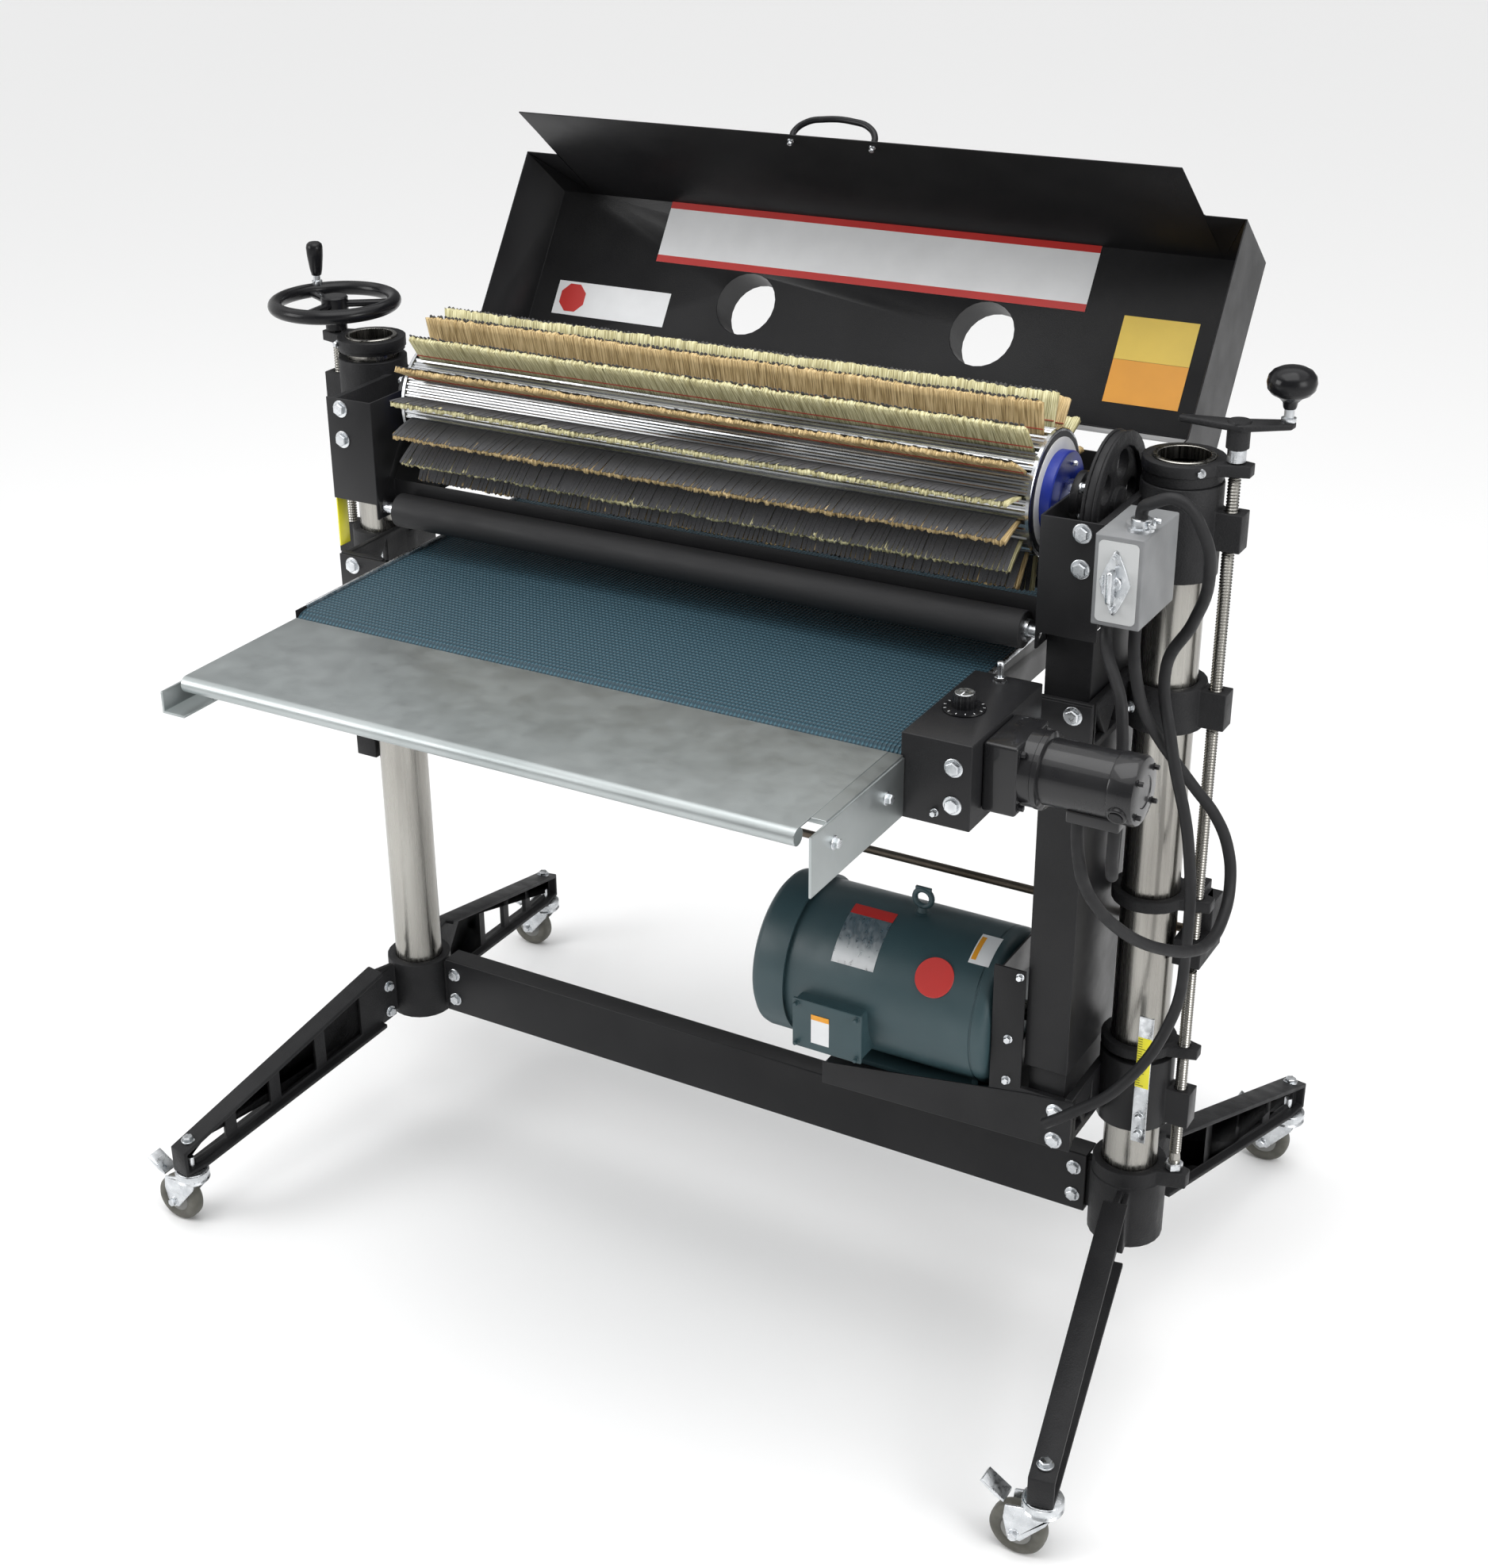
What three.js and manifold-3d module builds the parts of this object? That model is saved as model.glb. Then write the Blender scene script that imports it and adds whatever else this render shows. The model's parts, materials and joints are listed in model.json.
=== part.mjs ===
// Brush-type drum sander on two columns: a brush drum in a fixed head, a powered conveyor table that two
// screws raise and lower, a motor that slides on the right column, and four splayed legs on locking casters.
// Millimetres, X to the right, Y to the rear, Z up. While it is built, x = 0 is midway between the columns,
// y = 0 is the plane of the column axes and z = 0 is the floor. The last lines move the origin under the
// middle of the machine.

import * as THREE from 'three';
import { mergeVertices } from 'three/addons/utils/BufferGeometryUtils.js';
import Module from 'manifold-3d';

const wasm = await Module();
wasm.setup();

// ---- driving dimensions ----

const GAP = 0.35; // between pieces that touch
const RUN = 0.5; // between a slide or a turning shaft and its bore
const ROUND = 24; // sides of a large cylinder
const SMALL = 12; // sides of a small cylinder

const COLUMN = { x: 621, radius: 38.1, bore: 32, bottom: 172, top: 1312 };
const SLEEVE_RADIUS = 51;
const SCREW = { x: 685, radius: 8 }; // lift screws, outboard of the columns
const FLANGE = { inner: 507, outer: 583 }; // x of the bolted foot plates at the front of each sleeve
const WEB = { inner: 572, outer: 582 }; // x of the casting webs beside the columns

const BEAM = { front: -8, back: 30, bottom: 172, top: 268, wall: 5, end: 562 };
const HUB = { radius: 52.5, bottom: 165, top: 264 };
const LEG = { splay: 10, start: 62, end: 522, width: 34, web: 8, skin: 6, stem: 500, under: 101 };
const CASTER = { trail: 30, radius: 38, width: 25, forkHalf: 18, plate: 4 };

const HEAD = {
  sleeveBottom: 1160, sleeveTop: 1281, webBottom: 1130, webTop: 1262, flangeBottom: 1114, flangeTop: 1265,
};
const FRONT = -160; // front face of the bolted flanges
const SHEET = 3;
const DRUM = { y: -45, z: 1252, radius: 81, half: 470, tip: 128, strips: 16, stripHalf: 464, shaft: 12.5 };
const PULLEY = { inner: 543, outer: 561, radius: 90, groove: 80, motorRadius: 32, motorGroove: 22 };
const PRESSURE = { z: 1108, front: -145, rear: 55, radius: 24, left: -476, right: 487, shaft: 8 };

const HOOD = {
  wallInner: 563.5, wallOuter: 565.5, sheet: 2, lip: 508,
  bottomRear: [300, 1224], fold: [444, 1443], notch: [346, 1521], tip: [245, 1601], bottomFront: [178, 1272],
  pivot: [147, 1255], portX: 192, portAlong: 115, portRadius: 50, portLength: 52,
};

const TABLE = {
  top: 1050, beltHalf: 449.5, beltThick: 3, rollerRadius: 22, front: -400, rear: 310,
  rail: 451.3, railTop: 1053, railBottom: 990, sleeveBottom: 957, sleeveTop: 1017, earTop: 1030, earBottom: 962,
};
const INFEED = {
  half: 440, front: -650, back: -430, roll: 11, plateX: 457, plateBottom: 971, leftBottom: 1004,
};
const BOX = { left: 454.5, right: 543, front: -426, back: -222, bottom: 968, top: 1077 };
const GEARMOTOR = { y: -350, z: 1030, radius: 40, flange: 47, end: 722 };
const KNOB = [491, -334]; // x and y of the speed knob
const TOGGLE = [495, -240]; // x and y of the toggle switch

const MOTOR = {
  y: -40, z: 500, radius: 112, left: 122, right: 461, cowlLeft: 98, cowlRight: 150, cowlRadius: 117,
};
const SHAFT = { y: 48, z: 637, radius: 6 }; // cross shaft behind the columns
const BRACKET_Z = [700, 716]; // the two gear brackets
const SPEED = { collar: [474, 489], sleeveBottom: 360, sleeveTop: 466, bottom: 268, top: 655 };

// ---- solids ----

// A manifold solid made of a three.js geometry whose faces point out.
function solid(geometry) {
  const g = geometry.index ? geometry.toNonIndexed() : geometry;
  g.deleteAttribute('normal');
  g.deleteAttribute('uv');
  const merged = mergeVertices(g, 1e-4);
  return new wasm.Manifold(new wasm.Mesh({
    numProp: 3,
    vertProperties: merged.attributes.position.array,
    triVerts: new Uint32Array(merged.index.array),
  }));
}

const join = (first, ...rest) => rest.reduce((sum, piece) => sum.add(piece), first);
const cut = (first, ...rest) => rest.reduce((left, tool) => left.subtract(tool), first);

function block(x0, x1, y0, y1, z0, z1) {
  return solid(new THREE.BoxGeometry(x1 - x0, y1 - y0, z1 - z0)
    .translate((x0 + x1) / 2, (y0 + y1) / 2, (z0 + z1) / 2));
}

// A cylinder or cone along an axis; place holds the other two coordinates in x, y, z order.
function rod(axis, place, radius, from, to, sides = ROUND, radiusTo = radius) {
  const g = new THREE.CylinderGeometry(radiusTo, radius, to - from, sides);
  const middle = (from + to) / 2;
  if (axis === 'x') g.rotateZ(-Math.PI / 2).translate(middle, place[0], place[1]);
  if (axis === 'y') g.translate(place[0], middle, place[1]);
  if (axis === 'z') g.rotateX(Math.PI / 2).translate(place[0], place[1], middle);
  return solid(g);
}

function ring(axis, place, outer, inner, from, to, sides = ROUND) {
  return cut(rod(axis, place, outer, from, to, sides), rod(axis, place, inner, from - 1, to + 1, sides));
}

// A flat outline pushed along an axis; outline points hold the other two coordinates in x, y, z order.
function prism(axis, outline, from, to, holes = []) {
  const shape = new THREE.Shape(outline.map(([a, b]) => new THREE.Vector2(a, b)));
  const g = new THREE.ExtrudeGeometry(shape, { depth: to - from, bevelEnabled: false });
  const basis = new THREE.Matrix4();
  const [ex, ey, ez] = [new THREE.Vector3(1, 0, 0), new THREE.Vector3(0, 1, 0), new THREE.Vector3(0, 0, 1)];
  if (axis === 'x') basis.makeBasis(ey, ez, ex).setPosition(from, 0, 0);
  if (axis === 'y') basis.makeBasis(ex, ez, ey.clone().negate()).setPosition(0, to, 0);
  if (axis === 'z') basis.makeBasis(ex, ey, ez).setPosition(0, 0, from);
  return cut(solid(g.applyMatrix4(basis)), ...holes.map((hole) => prism(axis, hole, from - 1, to + 1)));
}

// The mirror image of a solid in the plane x = 0.
const mirrored = (piece) => piece.mirror([1, 0, 0]);

// ---- finishes ----

const finish = (color, roughness, metalness) => new THREE.MeshStandardMaterial({ color, roughness, metalness });
const POWDER = finish(0x17181a, 0.5, 0.1);
const CASTING = finish(0x121314, 0.62, 0.15);
const BRIGHT_STEEL = finish(0xb8b9b6, 0.28, 1);
const ZINC = finish(0xaeb4b8, 0.35, 1);
const ALUMINIUM = finish(0xd2d4d6, 0.2, 1);
const BELT_RUBBER = finish(0x1f3f4d, 0.7, 0);
const BLACK_RUBBER = finish(0x1c1c1d, 0.75, 0);
const TYRE = finish(0x55544b, 0.6, 0);
const ENAMEL = finish(0x24403f, 0.35, 0.1);
const GREY_BOX = finish(0x8b8e90, 0.45, 0.1);
const BLACK_GLOSS = finish(0x0b0b0c, 0.2, 0);

const sander = new THREE.Group();

function part(name, piece, material) {
  const mesh = piece.getMesh();
  const geometry = new THREE.BufferGeometry();
  const positions = new Float32Array(mesh.numVert * 3);
  for (let i = 0; i < mesh.numVert; i += 1) {
    for (let k = 0; k < 3; k += 1) positions[3 * i + k] = mesh.vertProperties[i * mesh.numProp + k];
  }
  geometry.setAttribute('position', new THREE.BufferAttribute(positions, 3));
  geometry.setIndex(new THREE.BufferAttribute(new Uint32Array(mesh.triVerts), 1));
  geometry.computeVertexNormals();
  const node = new THREE.Mesh(geometry, material);
  node.name = name;
  sander.add(node);
}

const SIDES = [['left', -1], ['right', 1]];
const bySide = (sign, piece) => (sign < 0 ? mirrored(piece) : piece);

// ---- columns and base ----

// Two ground steel tubes carry everything above the base.
for (const [side, sign] of SIDES) {
  const column = ring('z', [COLUMN.x, 0], COLUMN.radius, COLUMN.bore, COLUMN.bottom, COLUMN.top);
  part(`column_${side}`, bySide(sign, column), BRIGHT_STEEL);
}

// A collar that clamps on a column, with an ear round the screw beside it.
function collar(bottom, top, earEnd, screwBore = SCREW.radius + RUN + 0.2) {
  const bore = COLUMN.radius + GAP;
  const outline = [
    [COLUMN.x, -34], [SCREW.x, -15], [earEnd, -9], [earEnd, 9], [SCREW.x, 15], [COLUMN.x, 34],
  ];
  return cut(
    join(rod('z', [COLUMN.x, 0], SLEEVE_RADIUS, bottom, top), prism('z', outline, bottom, top)),
    rod('z', [COLUMN.x, 0], bore, bottom - 1, top + 1),
    rod('z', [SCREW.x, 0], screwBore, bottom - 1, top + 1, SMALL),
  );
}

// Cast hubs: a cup round the column's foot, a lug inside the beam's end and a lug for each leg.
function hub() {
  const cup = rod('z', [COLUMN.x, 0], HUB.radius, HUB.bottom, HUB.top);
  const lug = block(522, 590, BEAM.front + BEAM.wall + GAP, 14, 180, 260);
  const legLugs = [-1, 1].map((end) => {
    const g = new THREE.BoxGeometry(8, 46, 84).translate(LEG.web / 2 + 4 + GAP, 56, 216);
    g.rotateZ(-THREE.MathUtils.degToRad(LEG.splay));
    g.translate(COLUMN.x, 0, 0);
    const piece = solid(g);
    return end > 0 ? piece : piece.mirror([0, 1, 0]);
  });
  return cut(join(cup, lug, ...legLugs), rod('z', [COLUMN.x, 0], COLUMN.radius + GAP, 171, 400));
}

part('base_hub_left', mirrored(hub()), CASTING);
// The right hub also carries the lowest collar, which holds the foot of the speed screw.
part('base_hub_right', join(hub(), collar(HUB.top - 1, 286, 706)), CASTING);

// A pressed channel ties the hubs together, its back left open.
const beamHollow = block(-BEAM.end - 1, BEAM.end + 1, BEAM.front + BEAM.wall, BEAM.back + 1,
  BEAM.bottom + BEAM.wall, BEAM.top - BEAM.wall);
const beamBlock = block(-BEAM.end, BEAM.end, BEAM.front, BEAM.back, BEAM.bottom, BEAM.top);
part('base_beam', cut(beamBlock, beamHollow), POWDER);

// A cast leg, made along +Y from the column's axis and then splayed: web with four windows, skin all round.
function leg() {
  const outline = [
    [LEG.start, 172], [LEG.start, 268], [100, 272], [LEG.end, 145], [LEG.end, LEG.under], [478, LEG.under],
  ];
  const s = LEG.skin;
  const inside = [
    [LEG.start + s, 178], [LEG.start + s, 262], [99, 265], [LEG.end - s, 139],
    [LEG.end - s, LEG.under + s], [480, LEG.under + s],
  ];
  const topAt = (y) => 272 - ((y - 100) * 127) / (LEG.end - 100) - s - 4;
  const bottomAt = (y) => Math.max(172 - ((y - LEG.start) * 71) / (478 - LEG.start), LEG.under) + s + 4;
  const windows = [[140, 218], [240, 316], [338, 408], [430, 508]].map(([a, b]) => [
    [a, bottomAt(a)], [b, bottomAt(b)], [b, topAt(b)], [a + 6, topAt(a + 6)], [a, topAt(a) - 8]]);
  const web = prism('x', outline, -LEG.web / 2, LEG.web / 2, windows);
  const skin = prism('x', outline, -LEG.width / 2, LEG.width / 2, [inside]);
  const hubEnd = block(-LEG.width, LEG.width, 0, 96, 0, 400);
  const narrow = cut(skin, cut(hubEnd, block(-LEG.web / 2, LEG.width, 0, 96, 0, 400)));
  return cut(join(web, cut(narrow, block(LEG.web / 2, LEG.width, 0, 96, 0, 400))),
    rod('z', [0, LEG.stem], 6.8, 90, 130, SMALL));
}

const LEGS = [['front_left', -1, -1], ['front_right', 1, -1], ['rear_left', -1, 1], ['rear_right', 1, 1]];

// The leg's place: splayed outward about its column's axis, then mirrored to its corner.
function toCorner(piece, right, rear) {
  const splayed = piece.rotate([0, 0, -LEG.splay]).translate([COLUMN.x, 0, 0]);
  const sided = right > 0 ? splayed : splayed.mirror([1, 0, 0]);
  return rear > 0 ? sided : sided.mirror([0, 1, 0]);
}

for (const [corner, right, rear] of LEGS) part(`leg_${corner}`, toCorner(leg(), right, rear), CASTING);

// Swivel casters, all trailing to the left: stem and fork, wheel, and brake pedal.
function casterPlace(right, rear) {
  const turn = THREE.MathUtils.degToRad(LEG.splay);
  return [right * (COLUMN.x + LEG.stem * Math.sin(turn)), rear * LEG.stem * Math.cos(turn)];
}

for (const [corner, right, rear] of LEGS) {
  const [x, y] = casterPlace(right, rear);
  const axle = x - CASTER.trail;
  const { forkHalf, plate, radius, width } = CASTER;
  const cheek = [
    [x - 12, 88], [x + 20, 88], [x + 12, 70], [axle + 9, 30], [axle - 9, 30], [axle - 16, 60], [axle - 14, 80],
  ];
  const cheeks = [[y - forkHalf, y - forkHalf + plate], [y + forkHalf - plate, y + forkHalf]]
    .map(([from, to]) => prism('y', cheek, from, to));
  const fork = join(rod('z', [x, y], 25, 84, LEG.under - GAP - 1), rod('z', [x, y], 6, 95, 122, SMALL),
    ...cheeks, rod('y', [axle, radius], 5, y - forkHalf - 3, y + forkHalf + 3, SMALL));
  part(`caster_fork_${corner}`, fork, ZINC);
  const groove = forkHalf - plate - 1.2;
  const wheel = cut(rod('y', [axle, radius], radius, y - width / 2 + 0.1, y + width / 2 - 0.1),
    rod('y', [axle, radius], 5.5, y - groove, y + groove, SMALL));
  part(`caster_wheel_${corner}`, wheel, TYRE);
  // A bent tab over the wheel that pivots on the back of the fork.
  const tab = [
    [axle - 17, 79], [axle - 17, 83], [axle - 28, 90], [axle - 48, 103], [axle - 51, 100], [axle - 30, 84],
  ];
  const inner = forkHalf - plate;
  part(`caster_pedal_${corner}`, prism('y', tab, y - inner + GAP, y + inner - GAP), ZINC);
}

// ---- head: sleeves, chassis, drum and rollers ----

// A cast sleeve on a column: ring, screw lug, flat web beside the column and a bolted foot plate at the front.
function sleeve({
  bottom, top, lugBottom, lugTop, webBottom, webTop, webBack, footFront, footBottom, footTop, windows,
}) {
  const tube = rod('z', [COLUMN.x, 0], SLEEVE_RADIUS, bottom, top);
  const lug = block(COLUMN.x + 40, SCREW.x + 18, -15, 15, lugBottom, lugTop);
  const web = prism('x', [[footFront, webBottom], [webBack, webBottom], [webBack, webTop], [footFront, webTop]],
    WEB.inner, WEB.outer, windows);
  const foot = block(FLANGE.inner, FLANGE.outer, footFront, footFront + 8, footBottom, footTop);
  return cut(join(tube, lug, web, foot), rod('z', [COLUMN.x, 0], COLUMN.radius + RUN, bottom - 200, top + 200),
    rod('z', [SCREW.x, 0], SCREW.radius + RUN + 0.2, lugBottom - 1, lugTop + 1, SMALL));
}

// Triangular lightening holes between the foot plate and the sleeve, which leave a truss.
const truss = (low, high, front, back) => [
  [[front, low], [(front + back) / 2 - 4, low], [front, high]],
  [[(front + back) / 2 + 4, low], [back, low], [back, high]],
];

for (const [side, sign] of SIDES) {
  part(`head_sleeve_${side}`, bySide(sign, sleeve({
    bottom: HEAD.sleeveBottom, top: HEAD.sleeveTop, lugBottom: 1200, lugTop: 1249,
    webBottom: HEAD.webBottom, webTop: HEAD.webTop, webBack: 110,
    footFront: FRONT + SHEET + GAP, footBottom: HEAD.webBottom, footTop: HEAD.webTop - 2,
    windows: sign > 0 ? truss(HEAD.webBottom + 14, HEAD.webTop - 14, -136, -62) : [],
  })), CASTING);
  const skirtBottom = sign > 0 ? 1281.5 : 1290;
  const skirt = ring('z', [COLUMN.x, 0], SLEEVE_RADIUS - 2, COLUMN.radius + GAP, skirtBottom, 1296);
  part(`top_collar_${side}`, bySide(sign, join(collar(1295, 1310, 706), skirt)), CASTING);
}

// The drum chassis: two side plates with flange bearings, turned out at the front, a plate behind the drum and
// a cross bar behind the front roller.
const sidePlate = [[FRONT, 1092], [110, 1092], [165, 1235], [165, HEAD.flangeTop], [FRONT, HEAD.flangeTop]];
const plateIn = FLANGE.inner - SHEET;
function chassisSide(sign) {
  const plate = prism('x', sidePlate, plateIn, FLANGE.inner);
  const flange = block(FLANGE.inner - 1, FLANGE.outer, FRONT, FRONT + SHEET, HEAD.flangeBottom, HEAD.flangeTop);
  const bearing = join(
    rod('x', [DRUM.y, DRUM.z], 34, FLANGE.inner - 1, 516),
    rod('x', [DRUM.y, DRUM.z], 25, 510, 524),
  );
  const stud = rod('x', HOOD.pivot, 6, FLANGE.inner - 1, 568, SMALL);
  const shafts = [PRESSURE.front, PRESSURE.rear].map(
    (y) => rod('x', [y, PRESSURE.z], PRESSURE.shaft + 0.7, 490, 520, SMALL),
  );
  return bySide(sign, cut(join(plate, flange, bearing, stud),
    rod('x', [DRUM.y, DRUM.z], DRUM.shaft + 0.8, 490, 530, 16), ...shafts));
}
const backPlate = block(-plateIn - 1, plateIn + 1, 103, 103 + SHEET, 1135, 1262);
const crossBar = block(-plateIn - 1, plateIn + 1, -118, -116, 1100, 1142);
part('drum_chassis', join(chassisSide(-1), chassisSide(1), backPlate, crossBar), POWDER);

// The drum turns on a through shaft; bristle strips stand in slots along it.
function stripBlock(k) {
  const outline = [[76, -6], [DRUM.tip, -9], [DRUM.tip, 9], [76, 6]].map(([r, t]) => {
    const a = ((k + 0.5) / DRUM.strips) * 2 * Math.PI;
    return [DRUM.y + r * Math.cos(a) - t * Math.sin(a), DRUM.z + r * Math.sin(a) + t * Math.cos(a)];
  });
  return prism('x', outline, -DRUM.stripHalf, DRUM.stripHalf);
}
const strips = Array.from({ length: DRUM.strips }, (_, k) => stripBlock(k));
const axis = [DRUM.y, DRUM.z];
part('brush_drum', join(
  rod('x', axis, DRUM.radius, -DRUM.half, DRUM.half, 32),
  ...strips,
  rod('x', axis, 56, -484, 484),
  rod('x', axis, 20, -497, 497, 6),
  rod('x', axis, DRUM.shaft, -530, 541.5, 16),
), ALUMINIUM);

// A grooved wheel with a web thinner than its rim.
const spokeHoles = Array.from({ length: 5 }, (_, k) => {
  const a = (k * 2 * Math.PI) / 5;
  return rod('x', [DRUM.y + 48 * Math.cos(a), DRUM.z + 48 * Math.sin(a)], 19, 500, 600, SMALL);
});
const dish = cut(
  rod('x', axis, 72, PULLEY.outer - 6, PULLEY.outer + 1),
  rod('x', axis, 22, PULLEY.outer - 8, PULLEY.outer + 2),
);
part('drum_pulley', cut(
  rod('x', axis, PULLEY.radius, PULLEY.inner, PULLEY.outer, 36),
  ring('x', axis, PULLEY.radius + 5, PULLEY.groove, PULLEY.inner + 4, PULLEY.outer - 4, 36),
  dish,
  ...spokeHoles,
), CASTING);

const pressureRoller = (y) => join(
  rod('x', [y, PRESSURE.z], PRESSURE.radius, PRESSURE.left, PRESSURE.right),
  rod('x', [y, PRESSURE.z], PRESSURE.shaft, -FLANGE.inner - 2, FLANGE.inner + 0.2, SMALL),
);
part('front_pressure_roller', pressureRoller(PRESSURE.front), BLACK_RUBBER);
part('rear_pressure_roller', pressureRoller(PRESSURE.rear), BLACK_RUBBER);

// ---- hood ----

// Folded sheet: back, lipped top and bottom panels between two side walls, with two dust ports in the back.
function slab(p, q, thick, half) {
  const [dy, dz] = [q[0] - p[0], q[1] - p[1]];
  const k = thick / Math.hypot(dy, dz);
  return prism('x', [p, q, [q[0] - dz * k, q[1] + dy * k], [p[0] - dz * k, p[1] + dy * k]], -half, half);
}
const { bottomRear, fold, notch, tip, bottomFront, pivot } = HOOD;
function unit([y0, z0], [y1, z1]) {
  const length = Math.hypot(y1 - y0, z1 - z0);
  return [(y1 - y0) / length, (z1 - z0) / length];
}
const along = unit(bottomRear, fold);
const portCentre = [bottomRear[0] + along[0] * HOOD.portAlong, bottomRear[1] + along[1] * HOOD.portAlong];
const wall = [
  bottomRear, fold, notch, [bottomFront[0] + 4, bottomFront[1] + 6], bottomFront,
  [pivot[0] - 8, pivot[1] + 14], [pivot[0] - 15, pivot[1] - 4], [pivot[0] - 4, pivot[1] - 15],
  [pivot[0] + 14, pivot[1] - 10], [bottomRear[0] - 90, 1246],
];
function port(x, radius, from, to) {
  const g = new THREE.CylinderGeometry(radius, radius, to - from, ROUND).translate(0, (from + to) / 2, 0);
  g.rotateX(Math.atan2(-along[0], along[1])).translate(x, portCentre[0], portCentre[1]);
  return solid(g);
}
const wallHole = rod('x', pivot, 6.8, 500, 600, SMALL);
const sideWall = cut(prism('x', wall, HOOD.wallInner, HOOD.wallOuter), wallHole);
const panelHalf = HOOD.wallOuter - 0.5;
const panels = join(
  slab(fold, bottomRear, -HOOD.sheet, panelHalf),
  slab(fold, notch, HOOD.sheet, panelHalf),
  slab(fold, tip, HOOD.sheet, HOOD.lip),
  slab(bottomRear, bottomFront, HOOD.sheet, panelHalf),
  sideWall,
  mirrored(sideWall),
);
const portXs = [-HOOD.portX, HOOD.portX];
part('hood', cut(
  join(panels, ...portXs.map((x) => port(x, HOOD.portRadius, -1, HOOD.portLength))),
  ...portXs.map((x) => port(x, HOOD.portRadius - HOOD.sheet, -20, HOOD.portLength + 5)),
), POWDER);

// A bail of round bar on the lip's outer face.
const lipDir = unit(fold, tip);
const lipOut = [lipDir[1], -lipDir[0]];
const HANDLE_INSET = 14; // from the lip's edge to the bail
const handlePoint = ([x, out]) => new THREE.Vector3(
  x,
  tip[0] - lipDir[0] * HANDLE_INSET + lipOut[0] * out,
  tip[1] - lipDir[1] * HANDLE_INSET + lipOut[1] * out,
);
const bail = new THREE.CatmullRomCurve3([
  [-58, GAP + 0.6], [-57, 12], [-44, 26], [-18, 33], [28, 33], [54, 26], [67, 12], [68, GAP + 0.6],
].map(handlePoint));
function circle(radius, sides) {
  const turns = Array.from({ length: sides }, (_, k) => (k * 2 * Math.PI) / sides);
  return new THREE.Shape(turns.map((a) => new THREE.Vector2(radius * Math.cos(a), radius * Math.sin(a))));
}
const tube = (curve, radius, steps, sides) => solid(new THREE.ExtrudeGeometry(circle(radius, sides),
  { steps, extrudePath: curve, bevelEnabled: false }));
part('hood_handle', tube(bail, 4.5, 18, 8), BLACK_GLOSS);

// ---- conveyor table ----

for (const [side, sign] of SIDES) {
  part(`table_sleeve_${side}`, bySide(sign, sleeve({
    bottom: TABLE.sleeveBottom, top: TABLE.sleeveTop, lugBottom: 963, lugTop: 1013,
    webBottom: TABLE.earBottom, webTop: TABLE.earTop - 2, webBack: 60,
    footFront: FRONT + SHEET + GAP, footBottom: TABLE.earBottom, footTop: TABLE.earTop,
    windows: truss(TABLE.earBottom + 10, TABLE.earTop - 12, -138, -62),
  })), CASTING);
}

// The bed: a flat pan inside the belt, two rails beside it and ears that bolt to the sleeves' feet.
const rollerZ = TABLE.top - TABLE.beltThick - TABLE.rollerRadius;
const rail = cut(
  block(TABLE.rail, TABLE.rail + 2, TABLE.front - 16, TABLE.rear + 16, TABLE.railBottom, TABLE.railTop),
  ...[TABLE.front, TABLE.rear].map((y) => rod('x', [y, rollerZ], 8.8, 440, 470, SMALL)),
);
const ear = block(TABLE.rail + 1, FLANGE.outer, FRONT, FRONT + SHEET, TABLE.railBottom - 15, TABLE.earTop - 2);
const panTop = TABLE.top - TABLE.beltThick - 0.5;
const pan = block(-TABLE.rail - 1, TABLE.rail + 1, TABLE.front + 30, TABLE.rear - 30, 1036, panTop);
part('table_bed', join(pan, rail, mirrored(rail), ear, mirrored(ear)), POWDER);

// The belt: an endless loop round the two rollers.
function stadium(radius) {
  const points = [];
  for (let k = 0; k <= 8; k += 1) {
    const a = Math.PI / 2 + (k * Math.PI) / 8;
    points.push([TABLE.front + radius * Math.cos(a), rollerZ + radius * Math.sin(a)]);
  }
  for (let k = 0; k <= 8; k += 1) {
    const a = -Math.PI / 2 + (k * Math.PI) / 8;
    points.push([TABLE.rear + radius * Math.cos(a), rollerZ + radius * Math.sin(a)]);
  }
  return points;
}
const beltInner = TABLE.rollerRadius + 0.5;
const beltOuter = beltInner + TABLE.beltThick - 0.5;
part('conveyor_belt', prism('x', stadium(beltOuter), -TABLE.beltHalf, TABLE.beltHalf, [stadium(beltInner)]),
  BELT_RUBBER);
const tableRoller = (y, right) => join(
  rod('x', [y, rollerZ], TABLE.rollerRadius - 0.4, -448, 448, 16),
  rod('x', [y, rollerZ], 8, -TABLE.rail - 4, right, SMALL),
);
part('drive_roller', tableRoller(TABLE.front, 470), ZINC);
part('idler_roller', tableRoller(TABLE.rear, TABLE.rail + 4), ZINC);

// Zinc-plated infeed sheet with a rolled front edge, on a deep right bracket and a shallow left channel.
const sheetFlat = block(-INFEED.half, INFEED.half, INFEED.front, INFEED.back, TABLE.top - 2, TABLE.top);
const sheetRoll = rod('x', [INFEED.front, TABLE.top - INFEED.roll], INFEED.roll, -INFEED.half, INFEED.half, 16);
const { plateX, plateBottom, leftBottom } = INFEED;
const bracketBack = BOX.front - 2;
const rightBracket = block(plateX, plateX + SHEET, INFEED.front - 8, bracketBack, plateBottom, 1046);
const rightShelf = block(420, plateX + 1, INFEED.front + 30, bracketBack, 1043, TABLE.top - 1);
const leftFront = INFEED.front - 28;
const leftPlate = block(-plateX - SHEET, -plateX, leftFront, bracketBack, leftBottom, leftBottom + 30);
const leftFloor = block(-plateX - SHEET, -424, leftFront, bracketBack, leftBottom, leftBottom + SHEET);
const leftPost = block(-428, -424, INFEED.front + 30, bracketBack, leftBottom + 2, TABLE.top - 1);
part('infeed_table', join(
  sheetFlat, sheetRoll, rightBracket, rightShelf, leftPlate, leftFloor, leftPost,
), ZINC);

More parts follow.
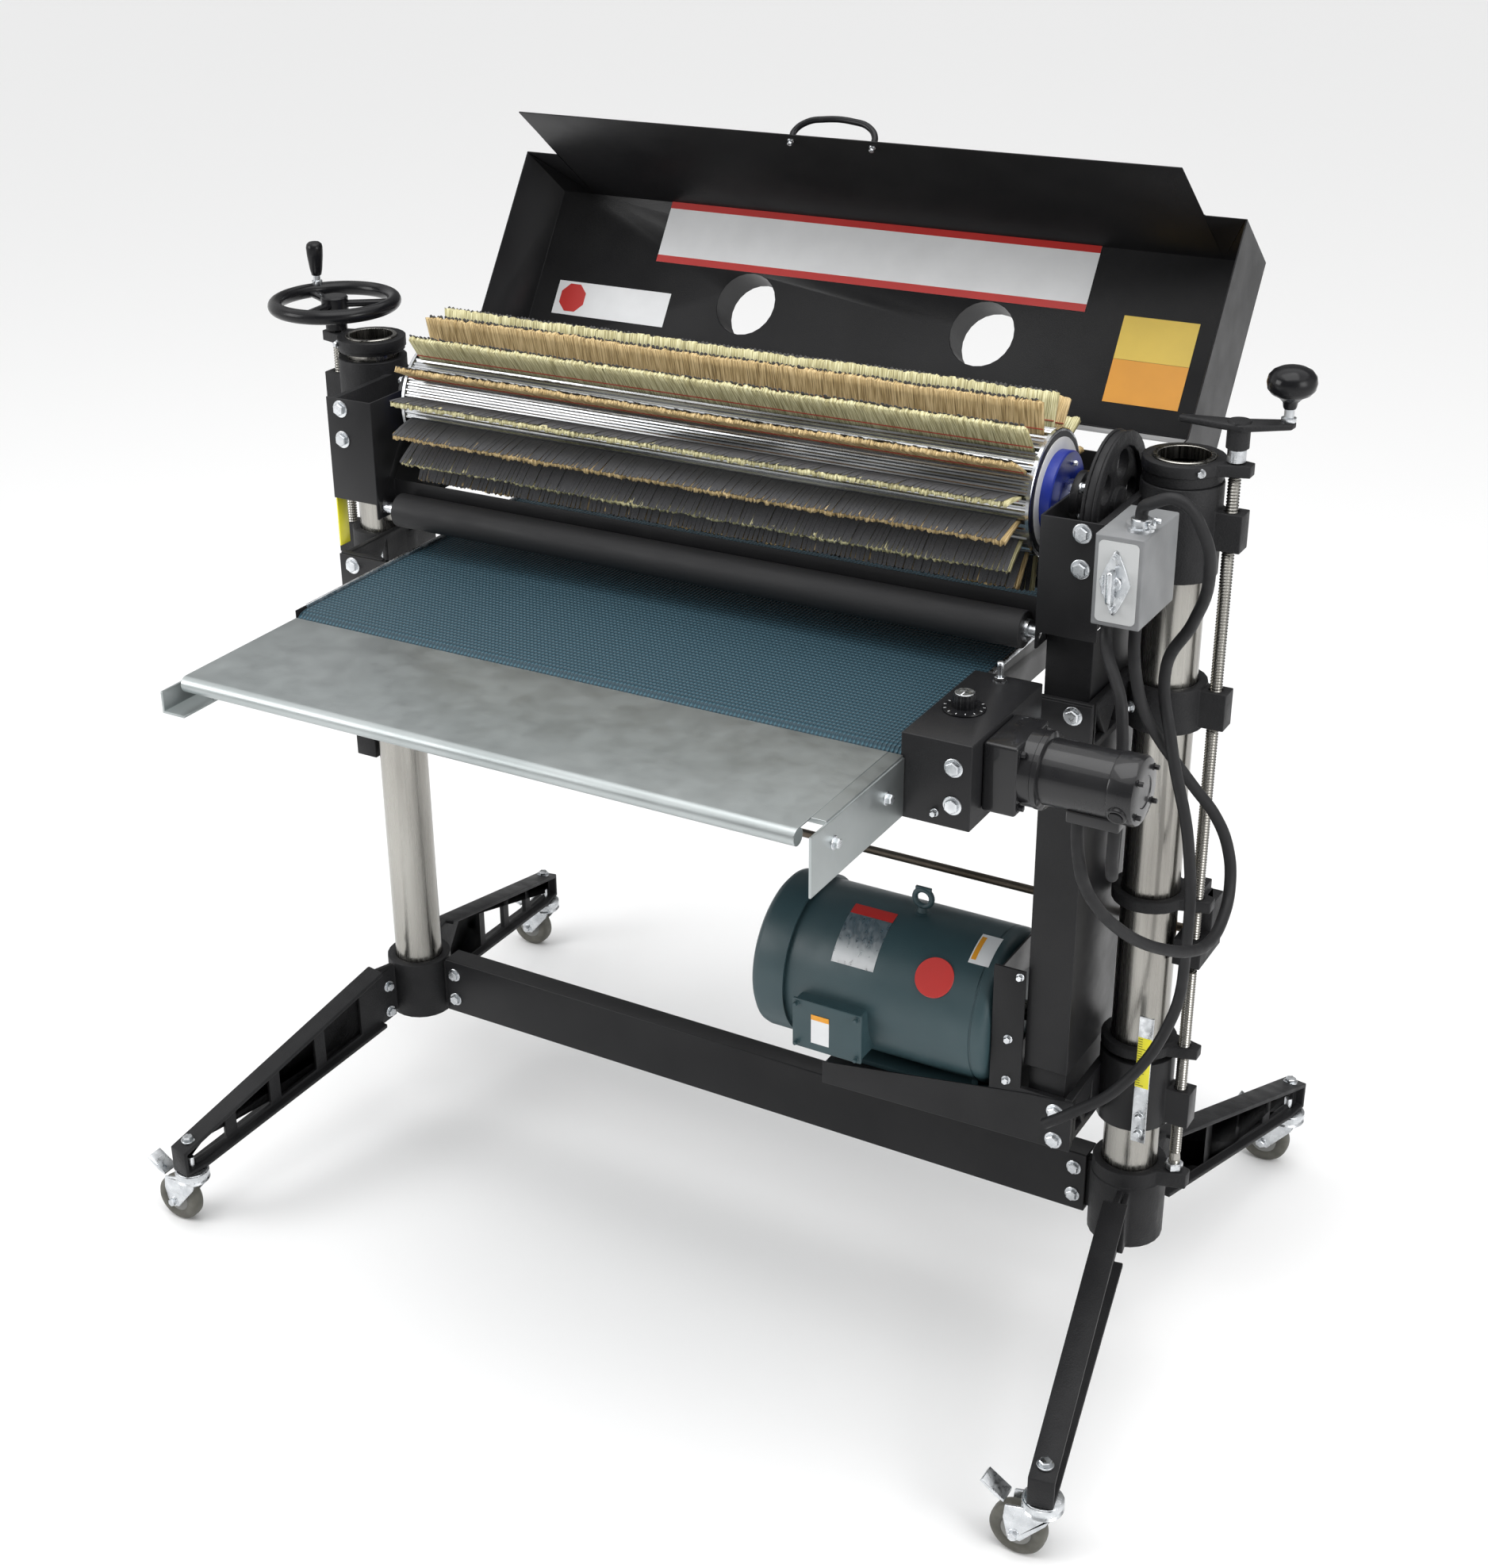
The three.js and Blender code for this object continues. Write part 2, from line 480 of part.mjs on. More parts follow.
// The control box hides the drive roller's end; the gearmotor hangs on its right side.
part('control_box', cut(
  join(
    block(BOX.left, BOX.right, BOX.front, BOX.back, BOX.bottom, BOX.top),
    rod('z', TOGGLE, 8, BOX.top - 1, BOX.top + 6, SMALL),
  ),
  rod('x', [TABLE.front, rollerZ], 12, 450, 474, SMALL),
), POWDER);
const gearAxis = [GEARMOTOR.y, GEARMOTOR.z];
part('gearmotor', join(
  block(BOX.right + GAP, 586, -397, -305, 984, 1072),
  rod('x', gearAxis, GEARMOTOR.flange, 584, 612),
  rod('x', gearAxis, GEARMOTOR.radius, 606, GEARMOTOR.end),
  block(668, 712, GEARMOTOR.y - 46, GEARMOTOR.y - 20, 1006, 1030),
), BLACK_GLOSS);
part('speed_knob', join(
  rod('z', KNOB, 25, BOX.top + GAP, BOX.top + 5),
  rod('z', KNOB, 14, BOX.top + 4, BOX.top + 24),
), BLACK_GLOSS);
part('toggle_switch', rod('z', TOGGLE, 4, BOX.top + 8.5, BOX.top + 26, SMALL, 3), BLACK_RUBBER);

// ---- lift: screws, handwheel, crank, cross shaft ----

function gearBracket() {
  const [bottom, top] = BRACKET_Z;
  const housing = join(
    block(SCREW.x - 22, SCREW.x + 16, -18, SHAFT.y + 18, 618, 657),
    block(SCREW.x - 16, SCREW.x + 16, 20, SHAFT.y + 12, 650, bottom + 1),
  );
  return cut(
    join(collar(bottom, top, 706), housing, block(COLUMN.x + 30, SCREW.x, 12, SHAFT.y + 10, bottom, top)),
    rod('z', [COLUMN.x, 0], COLUMN.radius + GAP, 600, 800),
    rod('z', [SCREW.x, 0], SCREW.radius + RUN + 0.2, 610, 800, SMALL),
    rod('x', [SHAFT.y, SHAFT.z], SHAFT.radius + 0.8, 600, 800, SMALL),
  );
}
for (const [side, sign] of SIDES) part(`gear_bracket_${side}`, bySide(sign, gearBracket()), CASTING);
const shaftEnd = SCREW.x + 18;
part('cross_shaft', rod('x', [SHAFT.y, SHAFT.z], SHAFT.radius, -shaftEnd, shaftEnd, SMALL), BRIGHT_STEEL);

const lead = (x, bottom, top) => rod('z', [x, 0], SCREW.radius, bottom, top, SMALL);

// Left: three-spoked handwheel with an upright grip on its rim.
const wheelZ = 1352;
const rim = solid(new THREE.TorusGeometry(88, 11, 8, 28).translate(-SCREW.x, 0, wheelZ));
const spokes = [0, 1, 2].map((k) => solid(new THREE.BoxGeometry(86, 15, 8).translate(45, 0, 0)
  .rotateZ(Math.PI * 0.85 + (k * 2 * Math.PI) / 3).translate(-SCREW.x, 0, wheelZ - 4)));
const gripPlace = [-SCREW.x - 72, 50];
const grip = join(
  rod('z', gripPlace, 5, wheelZ, wheelZ + 26, SMALL),
  rod('z', gripPlace, 8, wheelZ + 24, wheelZ + 72, SMALL, 11),
);
const wheelBoss = rod('z', [-SCREW.x, 0], 17, 1311, wheelZ + 8, SMALL);
part('handwheel_screw_left', join(
  lead(-SCREW.x, 628, wheelZ + 6), wheelBoss, rim, ...spokes, grip,
), BLACK_GLOSS);

// Right: crank arm with a tail, and a mushroom grip.
const armZ = 1352;
const knobAt = [SCREW.x + 50, 28];
const arm = prism('z', [
  [SCREW.x - 74, -6], [SCREW.x - 20, -14], [SCREW.x + 8, -16], [knobAt[0] + 8, knobAt[1] - 9],
  [knobAt[0] + 9, knobAt[1] + 4], [knobAt[0] - 3, knobAt[1] + 9], [SCREW.x - 6, 15], [SCREW.x - 72, 4],
], armZ, armZ + 9);
const mushroom = new THREE.SphereGeometry(29, 16, 10).scale(1, 1, 0.72).translate(...knobAt, armZ + 56);
part('crank_screw_right', join(
  lead(SCREW.x, 628, armZ + 4),
  rod('z', [SCREW.x, 0], 15, 1326, armZ + 10, SMALL),
  rod('z', [SCREW.x, 0], 12, 1311, 1328, SMALL),
  arm,
  rod('z', knobAt, 7, armZ + 4, armZ + 44, SMALL, 15),
  solid(mushroom),
), BLACK_GLOSS);

// ---- motor, its bracket and the belt drive ----

const motorAxis = [MOTOR.y, MOTOR.z];
const shelfZ = 384;
part('motor', join(
  rod('x', motorAxis, MOTOR.radius, MOTOR.left, MOTOR.right, 32),
  rod('x', motorAxis, MOTOR.cowlRadius, MOTOR.cowlLeft, MOTOR.cowlRight, 32),
  rod('x', motorAxis, 14, MOTOR.right - 2, PULLEY.inner - 1, 16),
  block(180, 284, -172, -100, 428, 504), // junction box
  block(150, 450, -110, 30, shelfZ + GAP, 410), // feet
  rod('z', [312, MOTOR.y], 9, 605, 618, SMALL), // base of the lifting eye
), ENAMEL);

// Bracket: sleeve on the right column, tapered front plate, shelf under the motor, plates at the motor's
// right end and the lower belt guard.
const plateFront = -140;
const bracketSleeve = sleeve({
  bottom: SPEED.sleeveBottom, top: SPEED.sleeveTop, lugBottom: 366, lugTop: 420,
  webBottom: 372, webTop: 444, webBack: 40,
  footFront: plateFront + SHEET - 0.5, footBottom: 366, footTop: 440, windows: truss(384, 432, -118, -62),
});
const taperOutline = [[208, 353], [FLANGE.outer, 362], [FLANGE.outer, 441], [520, 436], [208, 388]];
const tapered = prism('y', taperOutline, plateFront, plateFront + SHEET);
const shelf = block(208, 505, plateFront, 40, shelfZ - 4, shelfZ);
const guardBox = { left: 513, right: 565, front: -122, back: 28, bottom: 378, top: 690 };
// An upright channel of sheet that is open at the back and top.
function channel({ left, right, front, back, bottom, top }, floor) {
  return cut(
    block(left, right, front, back, bottom, top),
    block(left + 2, right - 2, front + 2, back + 1, bottom + floor, top + 1),
  );
}
const lowerGuard = cut(channel(guardBox, SHEET), rod('x', motorAxis, 20, 500, 530, 16));
const endPlateLeft = MOTOR.right + 1;
const endPlate = cut(
  block(endPlateLeft, endPlateLeft + SHEET, plateFront + SHEET, 40, shelfZ - 2, 606),
  rod('x', motorAxis, 60, 455, 480),
);
const frontPlate = block(
  endPlateLeft, 507.5, plateFront + SHEET - 0.5, plateFront + 2 * SHEET, shelfZ - 2, 621,
);
const guardFoot = block(505, guardBox.left + 1, -118, 20, shelfZ - 4, shelfZ);
const guardBolster = block(guardBox.left, 575, plateFront, -118, shelfZ, 400);
part('motor_bracket', join(
  bracketSleeve, tapered, shelf, endPlate, frontPlate, guardFoot, lowerGuard, guardBolster,
), POWDER);

part('motor_pulley', cut(
  rod('x', motorAxis, PULLEY.motorRadius, PULLEY.inner, PULLEY.outer),
  ring('x', motorAxis, PULLEY.motorRadius + 5, PULLEY.motorGroove, PULLEY.inner + 4, PULLEY.outer - 4),
), CASTING);

// V-belt: the outline of two circles and their tangents.
function beltOutline(top, bottom) {
  const [dy, dz] = [DRUM.y - MOTOR.y, DRUM.z - MOTOR.z];
  const length = Math.hypot(dy, dz);
  const tilt = Math.atan2(dz, dy);
  const wrap = Math.acos((top - bottom) / length);
  const points = [];
  const arc = (y, z, r, from, to, steps) => {
    for (let k = 0; k <= steps; k += 1) {
      const a = from + ((to - from) * k) / steps;
      points.push([y + r * Math.cos(a), z + r * Math.sin(a)]);
    }
  };
  arc(DRUM.y, DRUM.z, top, tilt - wrap, tilt + wrap, 16);
  arc(MOTOR.y, MOTOR.z, bottom, tilt + wrap, tilt + 2 * Math.PI - wrap, 10);
  return points;
}
const beltSides = [PULLEY.inner + 4.5, PULLEY.outer - 4.5];
part('drive_belt', prism('x', beltOutline(PULLEY.radius - 1.5, PULLEY.motorRadius - 1.5), ...beltSides,
  [beltOutline(PULLEY.groove + 1.2, PULLEY.motorGroove + 1.2)]), BLACK_RUBBER);

// The upper guard hangs from the head, over the lower one.
const cover = { left: 508, right: 569.2, front: -130, back: 34, bottom: 474, top: 1112 };
const shaftSlot = block(
  cover.left - 1, cover.left + 3, MOTOR.y - 20, MOTOR.y + 20, cover.bottom - 1, MOTOR.z + 24,
);
part('belt_guard', cut(channel(cover, -1), shaftSlot), POWDER);

// The speed screw raises the motor bracket and so slackens the belt; a nut at its foot is turned by spanner.
part('speed_collar', collar(...SPEED.collar, 706), CASTING);
const spannerNut = rod('z', [SCREW.x, 0], 13, 286.4, 298, 6);
part('speed_screw', join(lead(SCREW.x, 262, 606), spannerNut), BRIGHT_STEEL);

// ---- switch and cords ----

const SWITCH = { left: 594, right: 654, front: -215, back: -100, bottom: 1162, top: 1274 };
part('switch_box', join(block(SWITCH.left, SWITCH.right, SWITCH.front, SWITCH.back, SWITCH.bottom, SWITCH.top),
  block(FLANGE.outer + GAP, SWITCH.left + 1, -150, -120, 1190, 1240),
  rod('z', [630, -176], 14, SWITCH.top - 1, SWITCH.top + 9, SMALL)), GREY_BOX);
part('switch_handle', join(rod('y', [622, 1218], 9, SWITCH.front - 9, SWITCH.front - GAP, SMALL),
  block(618, 626, SWITCH.front - 24, SWITCH.front - 8, 1200, 1236)), ZINC);

const CORD = { radius: 7.5, sides: 8 };
function cordTube(points, steps) {
  const route = new THREE.CatmullRomCurve3(points.map((p) => new THREE.Vector3(...p)));
  return tube(route, CORD.radius, steps, CORD.sides);
}

// Power cords from the switch box: one to the motor, one to the gearmotor, and a loop from there to the box.
part('cord_motor', cordTube([
  [636, -180, 1284], [636, -180, 1298], [650, -192, 1312], [684, -196, 1322], [710, -184, 1286],
  [714, -158, 1220], [690, -128, 1150], [656, -112, 1080], [672, -116, 980], [702, -112, 850],
  [708, -104, 700], [694, -104, 580], [646, -150, 490], [596, -176, 452], [560, -178, 424],
], 44), BLACK_RUBBER);
part('cord_feed', cordTube([
  [606, -190, 1161], [606, -190, 1148], [610, -199, 1132], [620, -212, 1118], [634, -225, 1101],
  [646, -236, 1081], [652, -243, 1057], [656, -248, 1032], [658, -253, 1006], [662, -261, 982],
  [666, -273, 959], [669, -286, 937], [674, -303, 917], [682, -327, 906], [689, -347, 914],
  [691, -356, 938], [692, -358, 962], [692, -358, 988],
], 34), BLACK_RUBBER);
part('cord_loop', cordTube([
  [648, -358, 988], [648, -358, 962], [650, -354, 930], [655, -345, 893], [667, -324, 852],
  [683, -296, 816], [701, -264, 786], [722, -227, 762], [739, -186, 744], [747, -140, 735],
  [748, -94, 746], [743, -58, 777], [732, -45, 821], [714, -51, 865], [690, -66, 904],
  [669, -85, 943], [652, -107, 982], [639, -129, 1023], [634, -149, 1067], [632, -162, 1113],
  [632, -164, 1148], [632, -164, 1161],
], 44), BLACK_RUBBER);

// The origin goes under the middle of the machine.
sander.position.set(12, 80, 0);

export default sander;
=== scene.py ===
import bpy
import json
import math
import random
from mathutils import Matrix, Vector

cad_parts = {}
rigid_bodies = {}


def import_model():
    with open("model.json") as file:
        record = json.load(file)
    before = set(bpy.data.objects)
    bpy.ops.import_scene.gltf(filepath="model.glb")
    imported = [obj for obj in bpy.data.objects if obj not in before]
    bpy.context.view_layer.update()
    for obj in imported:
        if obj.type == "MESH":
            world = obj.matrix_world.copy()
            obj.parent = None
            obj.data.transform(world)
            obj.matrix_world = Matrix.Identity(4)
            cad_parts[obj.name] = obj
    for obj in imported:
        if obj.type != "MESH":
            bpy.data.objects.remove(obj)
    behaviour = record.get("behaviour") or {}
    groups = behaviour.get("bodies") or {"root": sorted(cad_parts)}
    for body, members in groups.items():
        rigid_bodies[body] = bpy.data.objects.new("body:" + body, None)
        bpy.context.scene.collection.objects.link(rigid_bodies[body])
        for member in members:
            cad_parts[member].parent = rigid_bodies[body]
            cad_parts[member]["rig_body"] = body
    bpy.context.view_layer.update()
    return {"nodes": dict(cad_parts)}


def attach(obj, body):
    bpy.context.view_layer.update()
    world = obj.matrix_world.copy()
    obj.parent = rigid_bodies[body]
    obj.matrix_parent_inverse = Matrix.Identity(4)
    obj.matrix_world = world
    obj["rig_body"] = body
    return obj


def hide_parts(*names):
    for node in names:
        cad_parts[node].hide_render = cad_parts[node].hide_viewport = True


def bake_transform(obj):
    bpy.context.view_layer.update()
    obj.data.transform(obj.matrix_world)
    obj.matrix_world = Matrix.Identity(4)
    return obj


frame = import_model()


# ---- camera, lights and floor ----
# The machine stands alone on a plain pale floor under a wide soft ceiling of light, with softboxes at its
# left front and right. The camera looks down on its right front corner. The room that its bright metal
# mirrors is grey in the middle and white at both ends.

scene = bpy.context.scene
scene.view_settings.view_transform = "Standard"

AZIMUTH, ELEVATION, ROLL = (math.radians(angle) for angle in (32.5, 25.5, -1.7))
bpy.ops.object.camera_add(location=(1.4999, -2.5356, 2.1964))
camera = bpy.context.object
aim = Matrix.Rotation(AZIMUTH, 3, "Z") @ Matrix.Rotation(math.pi / 2 - ELEVATION, 3, "X")
camera.rotation_euler = (aim @ Matrix.Rotation(ROLL, 3, "Z")).to_euler()
camera.data.lens = 52.9
camera.data.sensor_width = 36
camera.data.shift_x = 0.0681
camera.data.shift_y = -0.0152
scene.camera = camera

LIT_HEIGHT = 0.9  # metres: the middle of the machine, which the softboxes face


def softbox(name, place, size, power):
    bpy.ops.object.light_add(type="AREA", location=place)
    light = bpy.context.object
    light.name = name
    light.data.size = size
    light.data.energy = power
    towards = Vector((0, 0, LIT_HEIGHT)) - Vector(place)
    light.rotation_euler = towards.to_track_quat("-Z", "Y").to_euler()


softbox("overhead", (0.4, -0.6, 4.2), 3.0, 70)
bpy.ops.object.light_add(type="SUN", location=(0, 0, 5))
ceiling = bpy.context.object
ceiling.data.energy = 2.1
ceiling.data.angle = math.radians(100)
softbox("left_front", (-3.2, -3.0, 2.6), 2.2, 85)
softbox("right", (3.6, -1.0, 2.2), 1.6, 45)

ROOM_MIDDLE, ROOM_ENDS = (0.55, (0.16, 0.16, 0.16, 1)), (0.98, (0.95, 0.95, 0.95, 1))
world = bpy.data.worlds.new("studio")
world.use_nodes = True
scene.world = world
sky = world.node_tree
backdrop = sky.nodes["Background"]
backdrop.inputs["Color"].default_value = (1, 1, 1, 1)
studio = sky.nodes.new("ShaderNodeBackground")
direction = sky.nodes.new("ShaderNodeTexCoord")
parts_of = sky.nodes.new("ShaderNodeSeparateXYZ")
sideways = sky.nodes.new("ShaderNodeMath")
sideways.operation = "ABSOLUTE"
room = sky.nodes.new("ShaderNodeValToRGB")
for element, (place, colour) in zip(room.color_ramp.elements, (ROOM_MIDDLE, ROOM_ENDS)):
    element.position = place
    element.color = colour
ray = sky.nodes.new("ShaderNodeLightPath")
chosen = sky.nodes.new("ShaderNodeMixShader")
sky.links.new(direction.outputs["Generated"], parts_of.inputs["Vector"])
sky.links.new(parts_of.outputs["X"], sideways.inputs[0])
sky.links.new(sideways.outputs[0], room.inputs["Fac"])
sky.links.new(room.outputs["Color"], studio.inputs["Color"])
sky.links.new(ray.outputs["Is Camera Ray"], chosen.inputs["Fac"])
sky.links.new(studio.outputs[0], chosen.inputs[1])
sky.links.new(backdrop.outputs[0], chosen.inputs[2])
sky.links.new(chosen.outputs[0], sky.nodes["World Output"].inputs["Surface"])

bpy.ops.mesh.primitive_plane_add(size=40)
floor = bpy.context.object
floor.name = "floor"
pale = bpy.data.materials.new("floor_pale")
pale.use_nodes = True
pale.node_tree.nodes["Principled BSDF"].inputs["Base Color"].default_value = (0.9, 0.9, 0.9, 1)
pale.node_tree.nodes["Principled BSDF"].inputs["Roughness"].default_value = 0.8
floor.data.materials.append(pale)


# ---- cords ----
# Three black rubber-sheathed power cords, each from one part of the machine to another: from the switch down
# to the motor, from the switch to the gearmotor, and a service loop that hangs beside the right column.

MIDDLE_X, MIDDLE_Y = 12, 80  # the columns' midpoint in the frame, in millimetres
NEAR_BLACK, NEAR_BLACK_SPECULAR = 0.03, 0.22


def spot(x, y, z):
    """A place given in millimetres from the columns' midpoint, in the frame's metres."""
    return Vector((x + MIDDLE_X, y + MIDDLE_Y, z)) / 1000


def deselect():
    if bpy.context.mode != "OBJECT":
        bpy.ops.object.mode_set(mode="OBJECT")
    bpy.ops.object.select_all(action="DESELECT")


def pick(obj):
    """Makes obj the only selected object and the active one."""
    deselect()
    obj.select_set(True)
    bpy.context.view_layer.objects.active = obj


def new_finish(name, colour, roughness, metallic=0.0):
    """A new material; a nearly black one mirrors less, as a dull coat does."""
    made = bpy.data.materials.new(name)
    made.use_nodes = True
    shader = made.node_tree.nodes["Principled BSDF"]
    shader.inputs["Base Color"].default_value = (*colour, 1)
    shader.inputs["Roughness"].default_value = roughness
    shader.inputs["Metallic"].default_value = metallic
    shader.inputs["Specular IOR Level"].default_value = (
        0.5 if max(colour) > NEAR_BLACK else NEAR_BLACK_SPECULAR)
    return made


def noise(made, scale, detail=3, stretch=(1, 1, 1)):
    """Noise on the piece's own coordinates, drawn out along the axes whose stretch is small."""
    tree = made.node_tree
    source = tree.nodes.new("ShaderNodeTexCoord")
    mapping = tree.nodes.new("ShaderNodeMapping")
    mapping.inputs["Scale"].default_value = stretch
    texture = tree.nodes.new("ShaderNodeTexNoise")
    texture.inputs["Scale"].default_value = scale
    texture.inputs["Detail"].default_value = detail
    tree.links.new(source.outputs["Object"], mapping.inputs["Vector"])
    tree.links.new(mapping.outputs["Vector"], texture.inputs["Vector"])
    return texture.outputs["Fac"]


def ramp(made, source, *stops):
    """Colours, or greys for single numbers, at places between 0 and 1."""
    node = made.node_tree.nodes.new("ShaderNodeValToRGB")
    elements = node.color_ramp.elements
    while len(elements) < len(stops):
        elements.new(0.5)
    for element, (place, value) in zip(elements, stops):
        element.position = place
        element.color = (*value, 1) if isinstance(value, tuple) else (value, value, value, 1)
    made.node_tree.links.new(source, node.inputs["Fac"])
    return node.outputs["Color"]


def drive(made, socket, source):
    made.node_tree.links.new(source, made.node_tree.nodes["Principled BSDF"].inputs[socket])


def uneven(made, socket, low, high, scale, detail=3, stretch=(1, 1, 1)):
    """Noise moves a socket between two values over the surface."""
    drive(made, socket, ramp(made, noise(made, scale, detail, stretch), (0.3, low), (0.7, high)))


def bump(made, source, distance, strength):
    """Raises the surface where source is light, on top of any bump that is already there."""
    tree = made.node_tree
    node = tree.nodes.new("ShaderNodeBump")
    node.inputs["Distance"].default_value = distance
    node.inputs["Strength"].default_value = strength
    tree.links.new(source, node.inputs["Height"])
    normal = tree.nodes["Principled BSDF"].inputs["Normal"]
    if normal.links:
        tree.links.new(normal.links[0].from_socket, node.inputs["Normal"])
    tree.links.new(node.outputs["Normal"], normal)


def complete(obj, name, body, made, angle=32):
    """Settles a finished piece's place into its mesh, smooths it and hangs it on its body."""
    pick(obj)
    bpy.ops.object.transform_apply(location=True, rotation=True, scale=True)
    bpy.ops.object.shade_smooth_by_angle(angle=math.radians(angle))
    obj.name = name
    obj.data.name = name
    obj.data.materials.clear()
    obj.data.materials.append(made)
    if body:
        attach(obj, body)
    return obj


rubber = new_finish("cord_rubber", (0.016, 0.016, 0.017), 0.5)
uneven(rubber, "Roughness", 0.42, 0.62, 60)
bump(rubber, noise(rubber, 900, 2), 0.0004, 0.5)

CORD_RADIUS = 0.0075
CURVE_STEPS = 8  # path points from one knot to the next
CORDS = {
    "cord_motor": (("frame", "motor_unit"), (
        (636, -180, 1284), (636, -180, 1298), (650, -192, 1312), (684, -196, 1322), (710, -184, 1286),
        (714, -158, 1220), (690, -128, 1150), (656, -112, 1080), (672, -116, 980), (702, -112, 850),
        (708, -104, 700), (694, -104, 580), (646, -150, 490), (596, -176, 452), (560, -178, 424))),
    "cord_feed": (("frame", "table"), (
        (606, -190, 1161), (606, -190, 1148), (610, -199, 1132), (620, -212, 1118), (634, -225, 1101),
        (646, -236, 1081), (652, -243, 1057), (656, -248, 1032), (658, -253, 1006), (662, -261, 982),
        (666, -273, 959), (669, -286, 937), (674, -303, 917), (682, -327, 906), (689, -347, 914),
        (691, -356, 938), (692, -358, 962), (692, -358, 988))),
    "cord_loop": (("frame", "table"), (
        (632, -164, 1161), (632, -164, 1148), (632, -162, 1113), (634, -149, 1067), (639, -129, 1023),
        (652, -107, 982), (669, -85, 943), (690, -66, 904), (714, -51, 865), (732, -45, 821),
        (743, -58, 777), (748, -94, 746), (747, -140, 735), (739, -186, 744), (722, -227, 762),
        (701, -264, 786), (683, -296, 816), (667, -324, 852), (655, -345, 893), (650, -354, 930),
        (648, -358, 962), (648, -358, 988))),
}


def curved(name, places, radius, steps, roundness):
    """A round curve of one open spline through places in metres, and its knots."""
    line = bpy.data.curves.new(name, "CURVE")
    line.dimensions = "3D"
    line.resolution_u = steps
    line.bevel_depth = radius
    line.bevel_resolution = roundness
    line.use_fill_caps = True
    spline = line.splines.new("BEZIER")
    spline.bezier_points.add(len(places) - 1)
    for knot, place in zip(spline.bezier_points, places):
        knot.co = place
        knot.handle_left_type = knot.handle_right_type = "AUTO"
    obj = bpy.data.objects.new(name, line)
    scene.collection.objects.link(obj)
    return obj, spline.bezier_points


def sheathed(name, points):
    """A cord along a smooth line through the points, from one part of the machine to another."""
    cord, knots = curved(name, [spot(*point) for point in points], CORD_RADIUS, CURVE_STEPS, 4)
    bpy.context.view_layer.update()
    pick(cord)
    bpy.ops.object.convert(target="MESH")
    complete(cord, name + "_sheath", None, rubber, 60)
    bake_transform(cord)
    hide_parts(name)


for name, (bodies, points) in CORDS.items():
    sheathed(name, points)


# ---- columns ----
# Two ground and polished steel tubes, open at the top, stand in the base hubs and carry the whole machine.
# Their bare lengths show fine streaks along the grinding and a soft dark and light reflection.

SIDES = (("left", -1), ("right", 1))
ENDS = (("front", -1), ("rear", 1))
COLUMN_X, COLUMN_RADIUS, COLUMN_BORE = 621, 38.1, 32

ground_steel = new_finish("ground_steel", (0.62, 0.61, 0.59), 0.26, 1)
uneven(ground_steel, "Roughness", 0.16, 0.36, 260, 4, (1, 1, 0.015))
uneven(ground_steel, "Base Color", (0.25, 0.24, 0.22), (0.42, 0.41, 0.38), 14, 5, (1, 1, 0.2))


def turned(axis, centre, steps, sides=64):
    """A turned solid drawn out ring by ring along an axis: steps are (place, radius) in millimetres."""
    deselect()
    place, radius = (value / 1000 for value in steps[0])
    bpy.ops.mesh.primitive_circle_add(vertices=sides, radius=radius, fill_type="NGON",
                                      location=(0, 0, place))
    obj = bpy.context.object
    bpy.ops.object.mode_set(mode="EDIT")
    bpy.ops.mesh.select_all(action="SELECT")
    for step in steps[1:]:
        next_place, next_radius = (value / 1000 for value in step)
        move = (0, 0, next_place - place)
        bpy.ops.mesh.extrude_region_move(TRANSFORM_OT_translate={"value": move})
        wider = next_radius / radius
        bpy.ops.transform.resize(value=(wider, wider, 1), center_override=(0, 0, next_place))
        place, radius = next_place, next_radius
    bpy.ops.mesh.select_all(action="SELECT")
    bpy.ops.mesh.normals_make_consistent(inside=False)
    bpy.ops.object.mode_set(mode="OBJECT")
    bpy.ops.object.transform_apply(location=True, rotation=True, scale=True)
    turn = {"x": Matrix.Rotation(math.pi / 2, 4, "Y"), "y": Matrix.Rotation(-math.pi / 2, 4, "X"),
            "z": Matrix.Identity(4)}[axis]
    obj.data.transform(turn)
    middle = Vector((MIDDLE_X, MIDDLE_Y, 0))
    offset = Vector(centre) + middle
    along = "xyz".index(axis)
    offset[along] = middle[along]
    obj.data.transform(Matrix.Translation(offset / 1000))
    return obj


TUBE = [(1100, COLUMN_BORE), (1311.5, COLUMN_BORE), (1312, COLUMN_BORE + 0.6), (1312, COLUMN_RADIUS - 1),
        (1311, COLUMN_RADIUS), (174, COLUMN_RADIUS), (172, COLUMN_RADIUS - 1.5)]
for side, sign in SIDES:
    tube = turned("z", (sign * COLUMN_X, 0, 0), TUBE, 96)
    complete(tube, f"column_{side}_tube", "frame", ground_steel)
    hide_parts(f"column_{side}")


# ---- base: hubs, beam and legs ----
# Sand-cast iron hubs and legs and a pressed steel channel, all coated in black powder. The castings are a
# little rough, their edges rounded by the mould; the channel is smoother, with a soft radius at each fold.

casting = new_finish("cast_black", (0.012, 0.012, 0.013), 0.5)
uneven(casting, "Roughness", 0.42, 0.6, 35, 4)
uneven(casting, "Base Color", (0.009, 0.009, 0.01), (0.018, 0.018, 0.019), 9, 4)
bump(casting, noise(casting, 420, 3), 0.0012, 0.55)
bump(casting, noise(casting, 60, 2), 0.002, 0.25)

powder = new_finish("powder_black", (0.013, 0.013, 0.014), 0.36)
uneven(powder, "Roughness", 0.3, 0.43, 18, 5)
uneven(powder, "Base Color", (0.011, 0.011, 0.012), (0.017, 0.017, 0.018), 6)
bump(powder, noise(powder, 750, 2), 0.0004, 0.45)


